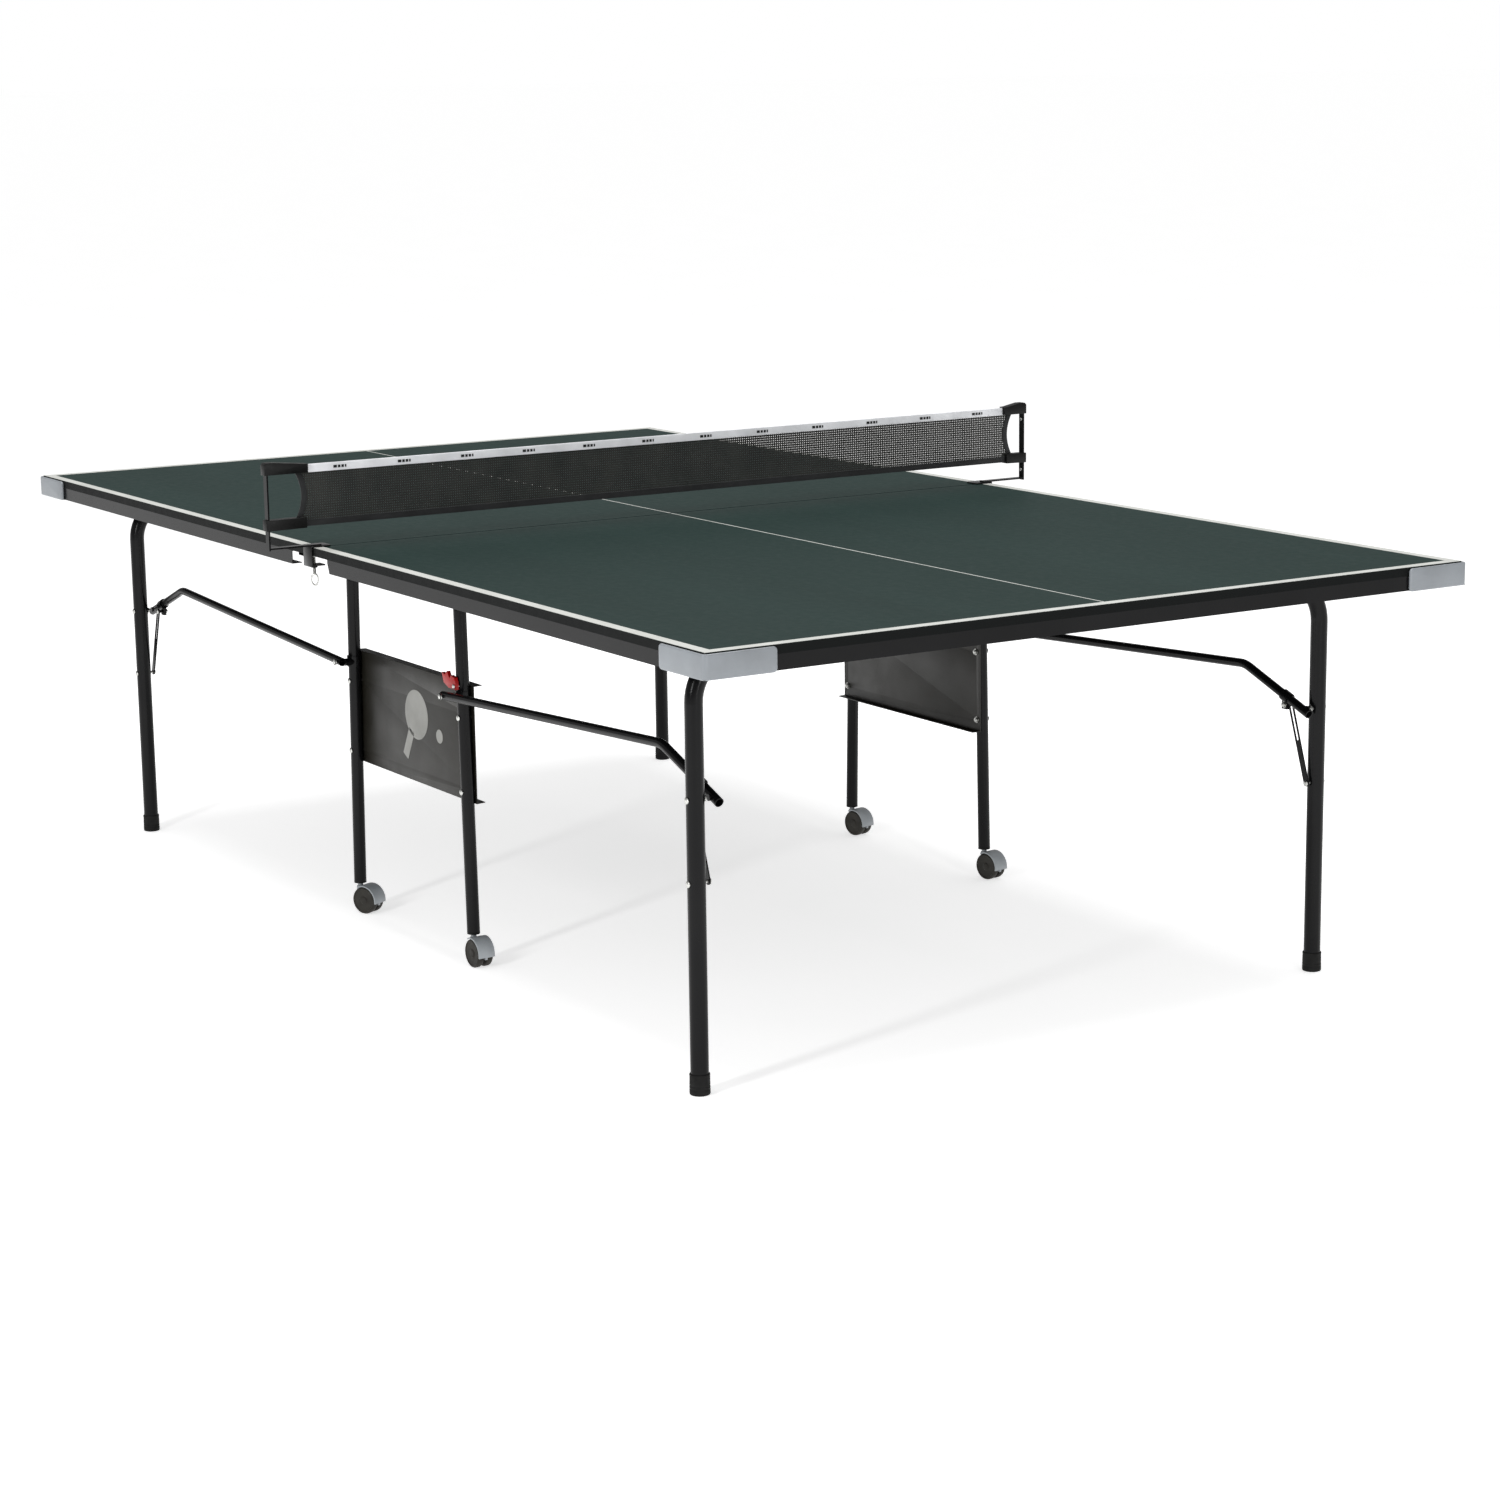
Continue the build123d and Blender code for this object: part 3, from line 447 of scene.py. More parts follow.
def lay_cords(shape, axis, start, end, first, last, total, crossings):
    """Cords along one axis, every second one woven the other way."""
    step = (last - first) / total
    shift = Vector((0, 0, 0))
    for phase in (0, 1):
        cord = woven_cord(axis, start, end, crossings, phase + axis)
        shift[3 - axis] = first + (0.5 + phase) * step
        cord.transform(Matrix.Translation(shift))
        shift[3 - axis] = 2 * step
        for _ in range(phase, total, 2):
            shape.from_mesh(cord)
            cord.transform(Matrix.Translation(shift))
        bpy.data.meshes.remove(cord)


net_mesh = bmesh.new()
rows = int((high.z - low.z) / PITCH)
columns = int((high.y - low.y) / PITCH)
lay_cords(net_mesh, 1, low.y, high.y, low.z, high.z, rows, columns)
lay_cords(net_mesh, 2, low.z - 1 * MM, high.z + 1 * MM, low.y, high.y, columns, rows)
net_piece = finish_piece("net_mesh", net_mesh, net_cord, "net_set", ["net"], angle=60)

# %% [markdown]
# The white tape is one strip of cotton folded over the top cord and sewn along its lower edge. The fold is
# rounder than the sewn edge, so the bar's top edges get a wide bevel and its lower edges a narrow one, and
# its faces are cut along the length and drawn a little in and out, because a tight tape is never quite
# straight. The stitches are small thread bars that stand on the cloth.

# %% Top tape and its stitches
def tape_bar(shape, low, high, cuts, fold, sway):
    """A folded cloth bar along Y with a rounded top and a slight waver."""
    tape = bmesh.new()
    bar(tape, low, high)
    long = [line for line in tape.edges if abs(line.verts[0].co.y - line.verts[1].co.y) > 0.1]
    tops = [line for line in long if min(v.co.z for v in line.verts) > high.z - 0.01 * MM]
    bmesh.ops.bevel(tape, geom=tops, offset=fold, segments=4, profile=0.5, affect="EDGES", material=-1)
    long = [line for line in tape.edges if abs(line.verts[0].co.y - line.verts[1].co.y) > 0.1]
    bmesh.ops.subdivide_edges(tape, edges=long, cuts=cuts)
    for vert in tape.verts:
        vert.co.x += sway * math.sin(vert.co.y * 41) * math.sin(vert.co.z * 150 + vert.co.y * 17)
    add_shape(shape, tape)


def stitches(shape, x, y0, y1, z, step, long, thick):
    """A run of thread bars along Y."""
    count = int((y1 - y0) / step)
    for i in range(count):
        y = y0 + (i + 0.5) * step
        bar(shape, (x - thick / 2, y - long / 2, z - thick / 2), (x + thick / 2, y + long / 2, z + thick / 2))


low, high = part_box("net_band")
band = bmesh.new()
tape_bar(band, low, high, 120, 1.3 * MM, 0.25 * MM)
for x in (low.x, high.x):
    stitches(band, x, low.y + 2 * MM, high.y - 2 * MM, low.z + 2.2 * MM, 4.4 * MM, 2.6 * MM, 0.5 * MM)
band_piece = finish_piece("net_top_tape", band, white_weave, "net_set", ["net_band"])

# %% [markdown]
# Short dark bars are printed at equal steps along both faces of the white tape. They stand for the small
# marks that such tapes carry, kept plain on purpose. They are thin films, like the painted lines.

# %% Marks on the tape
MARKS = 12
marks = bmesh.new()
for i in range(MARKS):
    y = low.y + (i + 0.5) * (high.y - low.y) / MARKS
    for x in (low.x - 0.35 * MM, high.x + 0.05 * MM):
        for shift, long in ((-12, 7), (-3, 5), (4, 5), (11, 3)):
            y0 = y + shift * MM
            bar(marks, (x, y0, low.z + 4.6 * MM), (x + 0.3 * MM, y0 + long * MM, low.z + 9.6 * MM))
marks_piece = finish_piece("tape_marks", marks, black_weave, "net_set")

# %% [markdown]
# The bottom tape is a plain black hem. The two side tapes bow inwards, because the cloth is pulled only at
# the clips. Each starts as one straight bar that is cut along its height, and then its middle is moved in,
# which is quicker than drawing the curve and keeps an even width.

# %% Hem and side tapes
BOW = 11 * MM
hem = bmesh.new()
low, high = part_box("net_hem")
band_low, band_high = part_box("net_band")
net_low, net_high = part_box("net")
hem_low = Vector((low.x, band_low.y - 6 * MM, low.z))
hem_high = Vector((high.x, band_high.y + 6 * MM, net_low.z))
tape_bar(hem, hem_low, hem_high, 100, 0.9 * MM, 0.2 * MM)
for x in (low.x, high.x):
    stitches(hem, x, net_low.y + 3 * MM, net_high.y - 3 * MM, net_low.z - 2 * MM, 5 * MM, 3 * MM, 0.5 * MM)
for end, sy in ENDS.items():
    start = net_high.y if sy > 0 else -net_low.y
    side = bmesh.new()
    corners = bar(side, (low.x, start + 12 * MM, net_low.z + 5.2 * MM), (high.x, start + 23 * MM,
                  net_high.z + 0.3 * MM), 0.6 * MM)
    tall = [line for line in side.edges if abs(line.verts[0].co.z - line.verts[1].co.z) > 0.05]
    bmesh.ops.subdivide_edges(side, edges=tall, cuts=14)
    middle = (net_low.z + net_high.z) / 2 + 2.7 * MM
    reach = (net_high.z - net_low.z) / 2 - 2.4 * MM
    for vert in side.verts:
        vert.co.y -= BOW * (1 - min(1, ((vert.co.z - middle) / reach) ** 2))
        vert.co.y *= sy
    if sy < 0:
        bmesh.ops.reverse_faces(side, faces=side.faces)
    add_shape(hem, side)
hem_piece = finish_piece("net_tapes", hem, black_weave, "net_set", ["net_hem"])


# %% [markdown]
# A caster has a grey hood over twin wheels. The hood is a band that bends round the trailing side, from the
# neck over the top and down to near the floor. Its cross-section, with a small bead along each rim, is spun
# part of a turn about the axle, which gives the round shell in one step. It could be cut from a cylinder, but
# the bead would then need a second operation.
# The caster's own place comes from its joints: the swivel gives the stem and the roll gives the axle.

# %% Caster helpers
WHEEL_R = 26.5 * MM
WHEEL_W = 13 * MM
SPLIT = 6 * MM
HOOD_R = 28 * MM
HOOD_T = 1.6 * MM
HOOD_FROM, HOOD_TO = -8.0, 118.0
TUBE_END = 58 * MM


def caster_place(corner):
    """The stem's foot with X towards the wheels, and how far they trail."""
    stem = Vector(joints[f"caster_swivel_{corner}"]["pos_m"])
    axle = Vector(joints[f"wheel_roll_{corner}"]["pos_m"])
    run = Vector((axle.x - stem.x, axle.y - stem.y, 0))
    turn = math.atan2(run.y, run.x)
    return Matrix.Translation((stem.x, stem.y, 0)) @ Matrix.Rotation(turn, 4, "Z"), run.length


def hood_shell(shape, trail):
    """The beaded band of the hood, spun about the axle."""
    half = SPLIT / 2 + WHEEL_W + 0.6 * MM
    bead = 0.7 * MM
    section = [
        (-half, HOOD_R - bead), (-half, HOOD_R + HOOD_T), (-half + bead, HOOD_R + HOOD_T + 0.2 * MM),
        (half - bead, HOOD_R + HOOD_T + 0.2 * MM), (half, HOOD_R + HOOD_T), (half, HOOD_R - bead),
        (half - 1.6 * MM, HOOD_R - bead), (half - 1.6 * MM, HOOD_R), (-half + 1.6 * MM, HOOD_R),
        (-half + 1.6 * MM, HOOD_R - bead),
    ]
    start = math.radians(HOOD_FROM)
    verts = [shape.verts.new((r * math.cos(start), y, r * math.sin(start))) for y, r in section]
    face = shape.faces.new(verts)
    made = bmesh.ops.spin(shape, geom=[face], cent=(0, 0, 0), axis=(0, -1, 0), steps=22,
                          angle=math.radians(HOOD_TO - HOOD_FROM), use_merge=False)
    bmesh.ops.transform(shape, matrix=Matrix.Translation((trail, 0, WHEEL_R)), verts=shape.verts)


# %% Caster hoods
for side, sx, end, sy in CORNERS:
    corner = f"{side}_{end}"
    place, trail = caster_place(corner)
    hood = bmesh.new()
    hood_shell(hood, trail)
    web_profile = [(0, -2.2 * MM), (HOOD_R + 0.4 * MM, -2.2 * MM), (HOOD_R + 0.4 * MM, 2.2 * MM), (0,
                   2.2 * MM)]
    web = bmesh.new()
    turned(web, web_profile, along((trail, 0, WHEEL_R), (0, 1, 0)), 40)
    bmesh.ops.bisect_plane(web, geom=web.verts[:] + web.edges[:] + web.faces[:], plane_co=(0, 0,
                           WHEEL_R - 9 * MM),
                           plane_no=(0, 0, -1), clear_outer=True)
    bmesh.ops.holes_fill(web, edges=[line for line in web.edges if line.is_boundary])
    add_shape(hood, web)
    neck = [
        (0, 40 * MM), (7.2 * MM, 40 * MM), (7.4 * MM, 50 * MM), (6.4 * MM, 52.5 * MM), (5.2 * MM, 53.5 * MM),
        (5.2 * MM, TUBE_END - 1 * MM), (4 * MM, TUBE_END - 0.6 * MM), (4 * MM, 70 * MM), (0, 70 * MM),
    ]
    turned(hood, neck, Matrix(), 28)
    half = SPLIT / 2 + WHEEL_W
    hub_end = half - 1.5 * MM
    hub = [(0, -hub_end), (3 * MM, -hub_end), (3 * MM, hub_end), (0, hub_end)]
    turned(hood, hub, along((trail, 0, WHEEL_R), (0, 1, 0)), 20)
    bmesh.ops.transform(hood, matrix=place, verts=hood.verts)
    finish_piece(f"hood_{corner}", hood, grey_mould, f"caster_{corner}", [f"caster_hood_{corner}"])

# %% [markdown]
# Each wheel is a moulded disc with a round tread, a shallow dished face, a ring groove and a hub cap. One
# profile from the axle to the tread and back holds all of that, so a full spin makes it.

# %% Caster wheels
def wheel_profile(s):
    """One wheel of a pair, as radius and place along the axle, on the side s."""
    a, b = SPLIT / 2, SPLIT / 2 + WHEEL_W
    points = [
        (3.2 * MM, a), (15 * MM, a), (WHEEL_R - 3 * MM, a), (WHEEL_R - 1 * MM, a + 1 * MM), (WHEEL_R,
                                                                                             a + 3 * MM),
        (WHEEL_R, b - 3.6 * MM), (WHEEL_R - 0.7 * MM, b - 1.6 * MM), (WHEEL_R - 2.2 * MM, b - 0.5 * MM),
        (WHEEL_R - 3.6 * MM, b), (WHEEL_R - 4.4 * MM, b - 0.2 * MM), (WHEEL_R - 5.2 * MM, b - 1.2 * MM),
        (12 * MM, b - 1.9 * MM), (8 * MM, b - 1.9 * MM), (7.2 * MM, b - 1.3 * MM), (6.6 * MM, b - 0.6 * MM),
        (4.6 * MM, b - 0.3 * MM), (0, b - 0.3 * MM), (0, b - 0.9 * MM), (3.2 * MM, b - 0.9 * MM), (3.2 * MM,
                                                                                                   a),
    ]
    return [(r, s * t) for r, t in points]


for side, sx, end, sy in CORNERS:
    corner = f"{side}_{end}"
    place, trail = caster_place(corner)
    wheels = bmesh.new()
    for s in (-1, 1):
        turned(wheels, wheel_profile(s), along((trail, 0, WHEEL_R), (0, 1, 0)), 48)
    bmesh.ops.transform(wheels, matrix=place, verts=wheels.verts)
    finish_piece(f"wheels_{corner}", wheels, wheel_mould, f"wheels_{corner}", [f"caster_wheels_{corner}"])


# %% [markdown]
# The corner guards are soft moulded plastic that snaps over the corner of the rails. Each is a bent wall with
# round ends and a lip that turns in under the rail. The wall starts as two flat faces that share the corner
# edge. Its four free corners are rounded in the flat, the corner edge is rounded in plan, and Solidify then
# gives the wall its thickness, so that the rounding is even all over.

# %% Corner guards
GUARD_ARM = 131 * MM
GUARD_T = 5.9 * MM
GUARD_ROUND = 7 * MM
GUARD_CORNER = 9 * MM


def guard_wall(sx, sy, x, y, z0, z1):
    """The bent outer wall of a guard, with round ends."""
    wall = bmesh.new()
    corner = [wall.verts.new((x, y, z)) for z in (z0, z1)]
    along_x = [wall.verts.new((x - sx * GUARD_ARM, y, z)) for z in (z0, z1)]
    along_y = [wall.verts.new((x, y - sy * GUARD_ARM, z)) for z in (z0, z1)]
    wall.faces.new((corner[0], corner[1], along_x[1], along_x[0]))
    wall.faces.new((corner[1], corner[0], along_y[0], along_y[1]))
    bmesh.ops.recalc_face_normals(wall, faces=wall.faces)
    bmesh.ops.bevel(wall, geom=along_x + along_y, offset=GUARD_ROUND, segments=6, profile=0.5,
                    affect="VERTICES",
                    material=-1)
    bend = [line for line in wall.edges if len(line.link_faces) == 2]
    bmesh.ops.bevel(wall, geom=bend, offset=GUARD_CORNER, segments=8, profile=0.5, affect="EDGES",
                    material=-1)
    inward = Vector((-sx, -sy, 0))
    for face in wall.faces:
        face.normal_update()
    if sum(face.normal.dot(inward) * face.calc_area() for face in wall.faces) < 0:
        bmesh.ops.reverse_faces(wall, faces=wall.faces)
    bmesh.ops.solidify(wall, geom=wall.faces[:], thickness=-GUARD_T)
    bmesh.ops.recalc_face_normals(wall, faces=wall.faces)
    rims = [line for line in wall.edges if line.calc_face_angle(0) > math.radians(60)]
    bmesh.ops.bevel(wall, geom=rims, offset=2.7 * MM, segments=4, profile=0.5, affect="EDGES", material=-1,
                    clamp_overlap=True)
    return wall


for side, sx in SIDES.items():
    low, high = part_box(f"corner_pads_{side}")
    x_out = high.x if sx > 0 else low.x
    pads = bmesh.new()
    for sy in (-1, 1):
        y_out = high.y if sy > 0 else low.y
        wall = guard_wall(sx, sy, x_out, y_out, low.z, high.z)
        add_shape(pads, wall)
        for lip in (0, 1):
            x1, y1 = x_out - sx * 2 * MM, y_out - sy * 2 * MM
            far_x = x_out - sx * (GUARD_ARM - 6 * MM if lip else 15 * MM)
            far_y = y_out - sy * (15 * MM if lip else GUARD_ARM - 6 * MM)
            near = (min(x1, far_x), min(y1, far_y), low.z + 0.3 * MM)
            far = (max(x1, far_x), max(y1, far_y), low.z + 1.3 * MM + lip * 0.05 * MM)
            bar(pads, near, far, 0.3 * MM, 1)
    finish_piece(f"guards_{side}", pads, silver_mould, f"top_{side}", [f"corner_pads_{side}"],
                 angle=50)


# %% [markdown]
# The feet are rubber caps pushed over the legs. A cap is thicker at the floor, has two grip rings and a
# rolled upper lip. It is round, so it is a spun profile.

# %% Foot caps
def foot_profile():
    """The outside and inside of a foot cap, as radius and height."""
    outside = [(0, 0), (14.5, 0), (16.4, 0.8), (17, 2.6), (17, 9), (16.5, 9.8), (16.5, 10.8), (17, 11.6),
               (17, 14),
               (16.5, 14.8), (16.5, 15.8), (16.9, 16.6), (16.6, 31), (16.9, 32.2), (16.9, 34), (16.4,
                                                                                                35), (15.3,
                                                                                                      35)]
    inside = [(15.1, 34), (15.1, 4), (0, 4)]
    return [(r * MM, h * MM) for r, h in outside + inside]


for side, sx in SIDES.items():
    low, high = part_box(f"foot_caps_{side}")
    x = (low.x + high.x) / 2
    radius = (high.x - low.x) / 2
    feet = bmesh.new()
    for y in (low.y + radius, high.y - radius):
        turned(feet, foot_profile(), Matrix.Translation((x, y, 0)), 40)
    finish_piece(f"feet_{side}", feet, black_rubber, f"legs_{side}", [f"foot_caps_{side}"])


# %% [markdown]
# The bolts are small but bright, so they catch the eye against black tube. A carriage bolt has a domed round
# head, and its other end has a washer and a hex nut over the thread. The dome is a spun arc. The nut is a
# six-sided disc with its corners eased.

# %% Bolt helpers
def dome(shape, point, direction, radius, rise):
    """A domed head that stands on a point."""
    arc = [(radius * math.cos(a),
           rise * (0.25 + 0.75 * math.sin(a))) for a in [i * math.pi / 12 for i in range(7)]]
    profile = [(0, 0), (radius * 0.97, 0)] + arc[:-1] + [(0, rise)]
    turned(shape, profile, along(point, direction), 24)


def nut(shape, point, direction, radius, tall):
    """A hex nut on a washer, with the bolt's end standing out of it."""
    place = along(point, direction)
    washer = [(0, 0), (radius * 1.15, 0), (radius * 1.15, 0.8 * MM), (0, 0.8 * MM)]
    turned(shape, washer, place, 24)
    made = bmesh.ops.create_cone(shape, cap_ends=True, segments=6, radius1=radius, radius2=radius, depth=tall,
                                 matrix=place @ Matrix.Translation((0, 0, 0.8 * MM + tall / 2)))
    rims = [e for e in {e for v in made["verts"] for e in v.link_edges}]
    bmesh.ops.bevel(shape, geom=rims, offset=0.35 * MM, segments=2, profile=0.5, affect="EDGES", material=-1)
    tip = 0.8 * MM + tall
    stub = [(0, tip - 0.5 * MM), (radius * 0.5, tip - 0.5 * MM), (radius * 0.5, tip + 1 * MM),
            (radius * 0.38, tip + 1.5 * MM), (0, tip + 1.5 * MM)]
    turned(shape, stub, place, 20)


def shank(shape, start, end, radius):
    """The plain bar of a bolt between two points."""
    run = Vector(end) - Vector(start)
    profile = [(0, 0), (radius, 0), (radius, run.length), (0, run.length)]
    turned(shape, profile, along(start, run), 16)


# %% Leg bolts
LEG_R = 15 * MM
for side, sx in SIDES.items():
    stay = {end: Vector(joints[f"stay_swing_{side}_{end}"]["pos_m"]) for end in ENDS}
    low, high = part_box(f"leg_bolts_{side}")
    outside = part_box(f"leg_hoop_{side}")[1].y
    bolts = bmesh.new()
    for end, sy in ENDS.items():
        x, z = stay[end].x, stay[end].z
        dome(bolts, (x, sy * outside, z), (0, sy, 0), 5.8 * MM, 3.4 * MM)
        inner = abs(stay[end].y)
        shank(bolts, (x, sy * (inner - 3.6 * MM), z), (x, sy * outside, z), 2.9 * MM)
        dome(bolts, (x, sy * (inner - 1.6 * MM), z), (0, -sy, 0), 5.6 * MM, 3.0 * MM)
        z = high.z - 5.7 * MM
        dome(bolts, (x, sy * outside, z), (0, sy, 0), 5.8 * MM, 3.4 * MM)
        shank(bolts, (x, sy * (outside - 2 * LEG_R), z), (x, sy * outside, z), 2.9 * MM)
        nut(bolts, (x, sy * (outside - 2 * LEG_R), z), (0, -sy, 0), 5.4 * MM, 3.2 * MM)
    finish_piece(f"bolts_leg_{side}", bolts, zinc, f"legs_{side}", [f"leg_bolts_{side}"])

# %% Panel bolts and catch screws
PANEL_BOLT_Z = (323 * MM, 460 * MM)
UPRIGHT_Y = 578 * MM
UPRIGHT_R = 12 * MM


def upright_x(z):
    """Where an upright's centre line is at a height, on the +X side."""
    return 0.2394 - 0.0265 * z


bolts = bmesh.new()
for side, sx, end, sy in CORNERS:
    for z in PANEL_BOLT_Z:
        x = sx * upright_x(z)
        outside, inside = UPRIGHT_Y + UPRIGHT_R, UPRIGHT_Y - UPRIGHT_R - 1.5 * MM
        dome(bolts, (x, sy * outside, z), (0, sy, 0), 5.6 * MM, 3.2 * MM)
        shank(bolts, (x, sy * inside, z), (x, sy * outside, z), 2.9 * MM)
        nut(bolts, (x, sy * inside, z), (0, -sy, 0), 5.4 * MM, 3.0 * MM)
for side, sx in SIDES.items():
    pivot = Vector(joints[f"latch_turn_{side}"]["pos_m"])
    way = 1 if pivot.y > 0 else -1
    face = UPRIGHT_Y + UPRIGHT_R
    shank(bolts, (pivot.x, way * (face - 4 * MM), pivot.z), (pivot.x, way * (face + 8.4 * MM), pivot.z),
          2.9 * MM)
    dome(bolts, (pivot.x, way * (face + 8.3 * MM), pivot.z), (0, way, 0), 4.6 * MM, 2.4 * MM)
finish_piece("bolts_panel", bolts, zinc, "undercarriage", ["panel_bolts"])

# %% [markdown]
# The brace ends and the post rivets need the same bright heads. Each brace turns on a bolt in its bracket,
# and a pin near its outer end, with a domed head and a nut, holds the slotted stay. The rivets on the posts
# are simple domes.

# %% Brace heads, stay pins and rivets
STAY_PIN_X, STAY_PIN_Z = 1096 * MM, 484 * MM
PIN_HEAD_R, PIN_HEAD_RISE = 5.4 * MM, 3.2 * MM
PIN_SHANK_R = 2.6 * MM
PIN_NUT_R, PIN_NUT_TALL = 5.0 * MM, 3.0 * MM
LUG_HALF = 3 * MM
for side, sx, end, sy in CORNERS:
    corner = f"{side}_{end}"
    pivot = Vector(joints[f"brace_swing_{corner}"]["pos_m"])
    head = bmesh.new()
    dome(head, (pivot.x, pivot.y + sy * 9.6 * MM, pivot.z), (0, sy, 0), 6.2 * MM, 4.6 * MM)
    finish_piece(f"brace_bolt_{corner}", head, zinc, "undercarriage")
    stay_low, stay_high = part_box(f"stay_{corner}")
    brace_low, brace_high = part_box(f"brace_{corner}")
    x, z = sx * STAY_PIN_X, STAY_PIN_Z
    outer = stay_high.y if sy > 0 else stay_low.y
    inner = (brace_low.y + brace_high.y) / 2 - sy * LUG_HALF
    pin = bmesh.new()
    dome(pin, (x, outer, z), (0, sy, 0), PIN_HEAD_R, PIN_HEAD_RISE)
    shank(pin, (x, inner, z), (x, outer, z), PIN_SHANK_R)
    nut(pin, (x, inner, z), (0, -sy, 0), PIN_NUT_R, PIN_NUT_TALL)
    finish_piece(f"stay_pin_{corner}", pin, zinc, f"brace_{corner}")
low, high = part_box("post_rivets")
rivets = bmesh.new()
for z in (782 * MM, 886 * MM):
    dome(rivets, (0, high.y, z), (0, -1, 0), 3.4 * MM, 1.9 * MM)
    dome(rivets, (0, low.y, z), (0, 1, 0), 3.4 * MM, 1.9 * MM)
finish_piece("rivets_post", rivets, zinc, "net_set", ["post_rivets"])

# %% [markdown]
# A clamp screw holds each end of the net set. It has a fine thread, a swivelling pad at the top and a loop of
# wire at the bottom to turn it by. The thread is a stack of shallow rings in one spun profile, which looks
# the same as a true helix at this size. The loop is a ring of round wire, spun from a small circle.

# %% Clamp screws
def wire_ring(shape, centre, wide, tall, wire, turn):
    """An upright oval ring of round wire, turned out of the XZ plane."""
    ring = bmesh.new()
    bmesh.ops.create_circle(ring, cap_ends=False, segments=10, radius=wire, matrix=Matrix.Translation((wide,
                            0, 0)))
    bmesh.ops.spin(ring, geom=ring.verts[:] + ring.edges[:], cent=(0, 0, 0), axis=(0, 1, 0), angle=math.tau,
                   steps=32,
                   use_merge=True)
    bmesh.ops.scale(ring, vec=(1, 1, tall / wide), verts=ring.verts)
    bmesh.ops.rotate(ring, cent=(0, 0, 0), matrix=Matrix.Rotation(turn, 3, "Z"), verts=ring.verts)
    bmesh.ops.translate(ring, vec=centre, verts=ring.verts)
    add_shape(shape, ring)


RING_TURN = math.radians(58)
for end, sy in ENDS.items():
    low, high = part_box(f"clamp_screw_{end}")
    x, y = (low.x + high.x) / 2, (low.y + high.y) / 2
    screw = bmesh.new()
    foot = low.z + 22 * MM
    threads = []
    z = foot
    while z < high.z - 6 * MM:
        threads += [(2.5 * MM, z), (3.0 * MM, z + 0.5 * MM)]
        z += 1.0 * MM
    pad = high.z - 4 * MM
    profile = [(0, foot - 2 * MM), (2.4 * MM, foot - 2 * MM)] + threads
    profile += [(2.5 * MM, pad), (5.6 * MM, pad), (6 * MM, pad + 0.8 * MM), (6 * MM, high.z - 0.4 * MM),
                (5.4 * MM, high.z), (0, high.z)]
    turned(screw, profile, Matrix.Translation((x, y, 0)), 20)
    wire_ring(screw, Vector((x, y, low.z + 11.4 * MM)), 6.2 * MM, 10.2 * MM, 1.3 * MM, -sy * RING_TURN)
    finish_piece(f"screw_with_ring_{end}", screw, zinc, f"screw_{end}", [f"clamp_screw_{end}"])

# %% [markdown]
# Some CAD parts have the right shape but knife-sharp edges, which real mouldings and pressings never have. A
# rounded edge catches a thin line of light, and the eye reads that as a solid thing. Each such part is
# copied, its loose triangles are merged, and its sharp edges get a small bevel.

# %% Softened parts
for side in SIDES:
    softened(f"catch_{side}", f"latch_{side}", red_mould, f"latch_{side}", 1.2 * MM, 3)
softened("clips_net", "net_clips", black_mould, "net_set", 0.9 * MM)
softened("plates_clamp", "clamp_plates", black_coat, "net_set", 0.5 * MM)
softened("panels_side", "side_panels", panel_coat, "undercarriage", 0.4 * MM)

# %% [markdown]
# The front panel carries a printed badge. A plain bat and ball says what the table is for and copies nobody's
# mark. It is a thin film: a flattened disc for the blade, a plain bar for the grip and a small disc
# for the ball, all leaning a little.

# %% Panel badge
low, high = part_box("side_panels")
face_y = low.y
badge = bmesh.new()


def film_disc(shape, x, z, radius):
    """A thin printed disc on the front panel."""
    place = Matrix.Translation((x, face_y - 0.15 * MM, z)) @ Matrix.Rotation(math.pi / 2, 4, "X")
    bmesh.ops.create_cone(shape, cap_ends=True, segments=48, radius1=radius, radius2=radius, depth=0.4 * MM,
                          matrix=place)


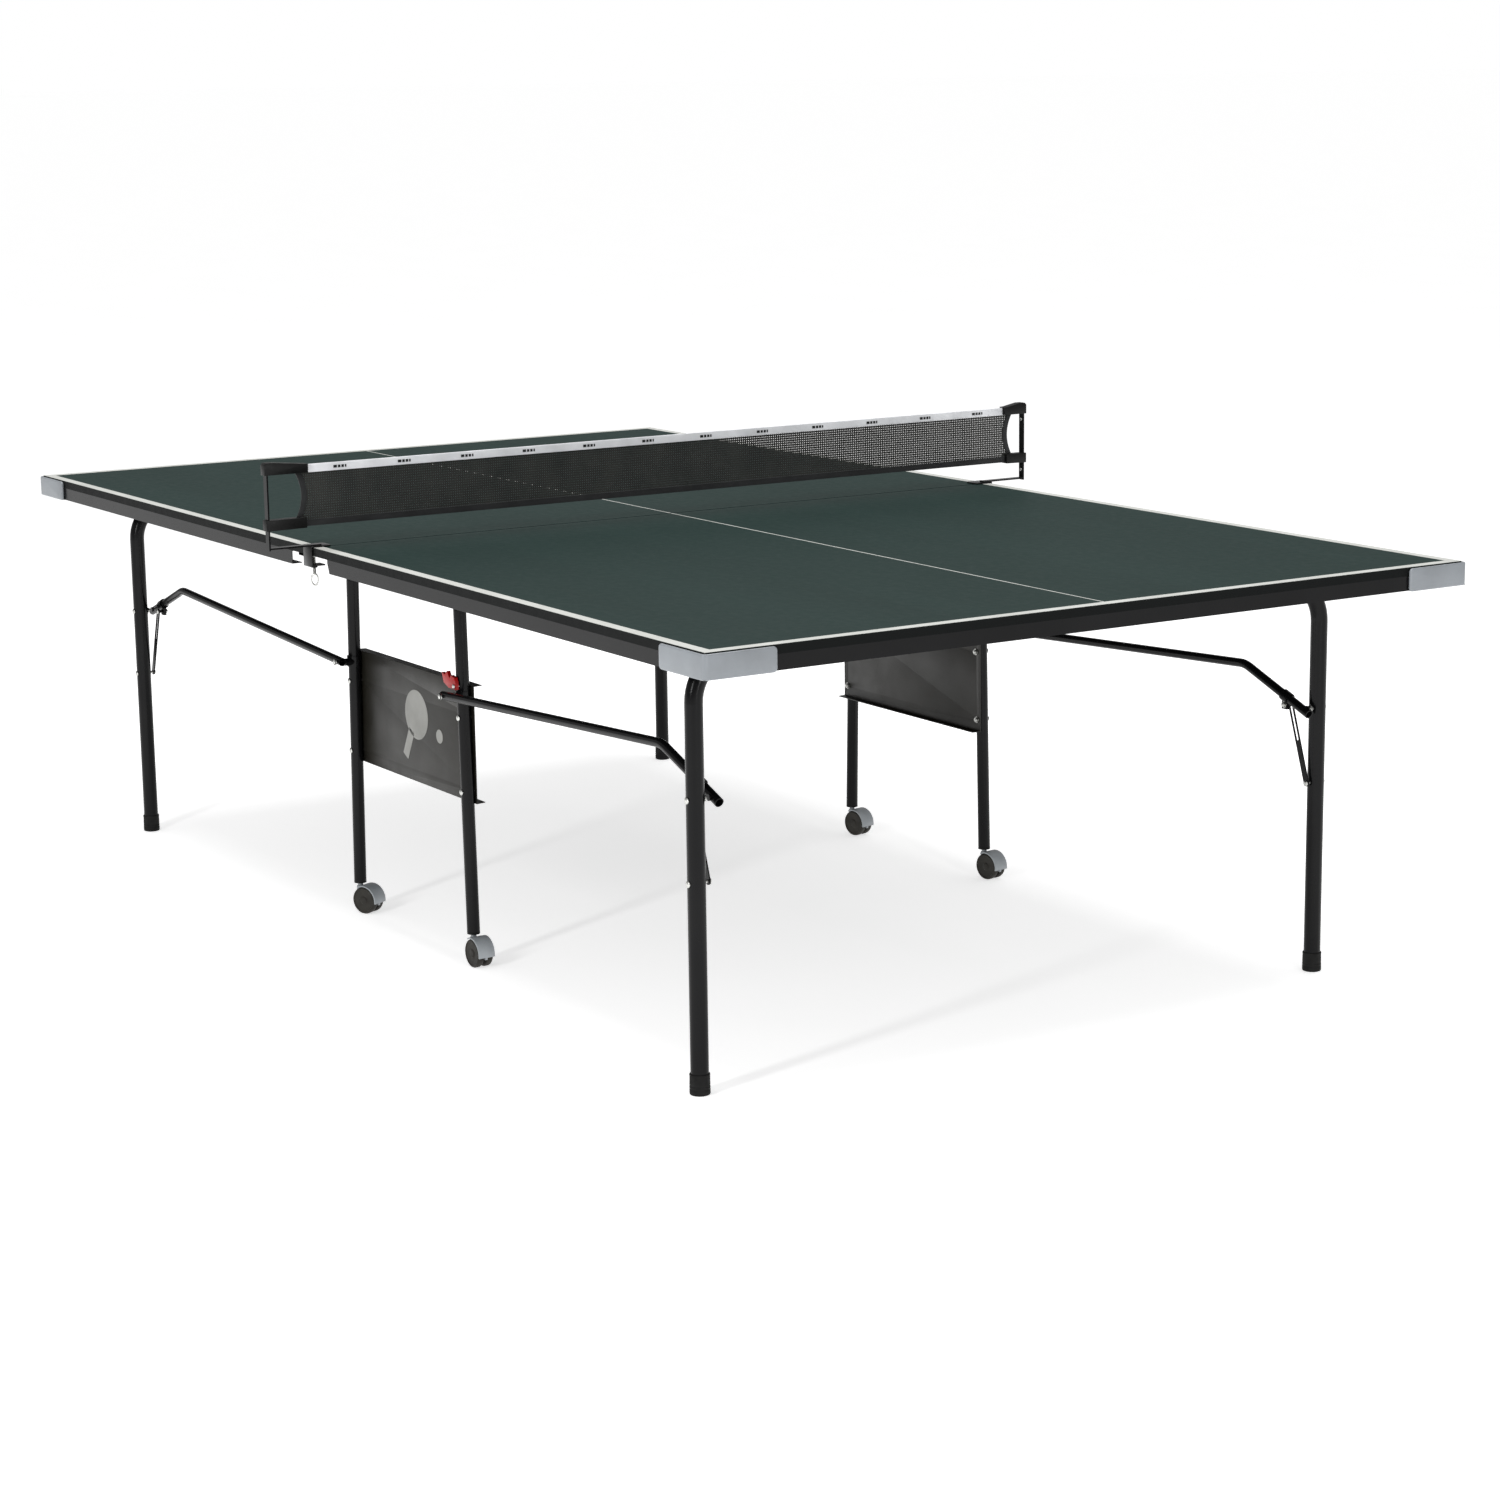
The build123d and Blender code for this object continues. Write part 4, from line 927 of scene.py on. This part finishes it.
film_disc(badge, 0.004, 0.432, 0.047)
film_disc(badge, 0.098, 0.452, 0.013)
grip = bar(badge, (-0.011, face_y - 0.35 * MM, 0.332), (0.011, face_y + 0.05 * MM, 0.392), 0.0)
bmesh.ops.rotate(badge, verts=badge.verts, cent=(0, face_y, 0.42), matrix=Matrix.Rotation(math.radians(28),
                 3, "Y"))
finish_piece("panel_badge", badge, pale_print, "undercarriage")

# %% [markdown]
# The table stands on a plain pale floor in an even, bright room. A large soft light overhead and one at each
# side give the tubes their long thin streaks without hard shadows.

# %% Floor and light
floor_mesh = bpy.data.meshes.new("floor")
floor_shape = bmesh.new()
bmesh.ops.create_grid(floor_shape, x_segments=1, y_segments=1, size=300)
floor_shape.to_mesh(floor_mesh)
floor_shape.free()
floor = bpy.data.objects.new("floor", floor_mesh)
scene.collection.objects.link(floor)
floor_finish = plain_finish("pale floor", shade(246, 246, 246), shade(250, 250, 250), (0.9, 1.0), 2, 50,
                            0.0001)
floor_mesh.materials.append(floor_finish)
glow = floor_finish.node_tree.nodes["Principled BSDF"]
glow.inputs["Emission Color"].default_value = (1, 1, 1, 1)
glow.inputs["Emission Strength"].default_value = 0.6

world = bpy.data.worlds.new("bright room")
world.use_nodes = True
ROOM_LIGHT = 0.42
room = world.node_tree
sky = room.nodes["Background"]
sky.inputs["Color"].default_value = (1, 1, 1, 1)
ray = room.nodes.new("ShaderNodeLightPath")
room.links.new(spread(room, ray.outputs["Is Camera Ray"], ROOM_LIGHT, 1.0, 0.0, 1.0), sky.inputs["Strength"])
scene.world = world
scene.view_settings.view_transform = "Standard"
scene.view_settings.look = "None"


def soft_light(name, place, target, width, depth, power):
    """A large soft light that faces a point."""
    data = bpy.data.lights.new(name, "AREA")
    data.shape = "RECTANGLE"
    data.size = width
    data.size_y = depth
    data.energy = power
    lamp = bpy.data.objects.new(name, data)
    scene.collection.objects.link(lamp)
    aim = (Vector(target) - Vector(place)).to_track_quat("-Z", "Y").to_matrix().to_4x4()
    lamp.matrix_world = Matrix.Translation(place) @ aim
    return lamp


soft_light("overhead", (0, 0, 4.5), (0, 0, 0), 5, 4, 200)
soft_light("near side", (2.5, -5.5, 2.6), (0, 0, 0.5), 0.4, 2.5, 100)
soft_light("near end", (6.5, -0.5, 1.8), (0, 0, 0.5), 0.4, 2.5, 70)
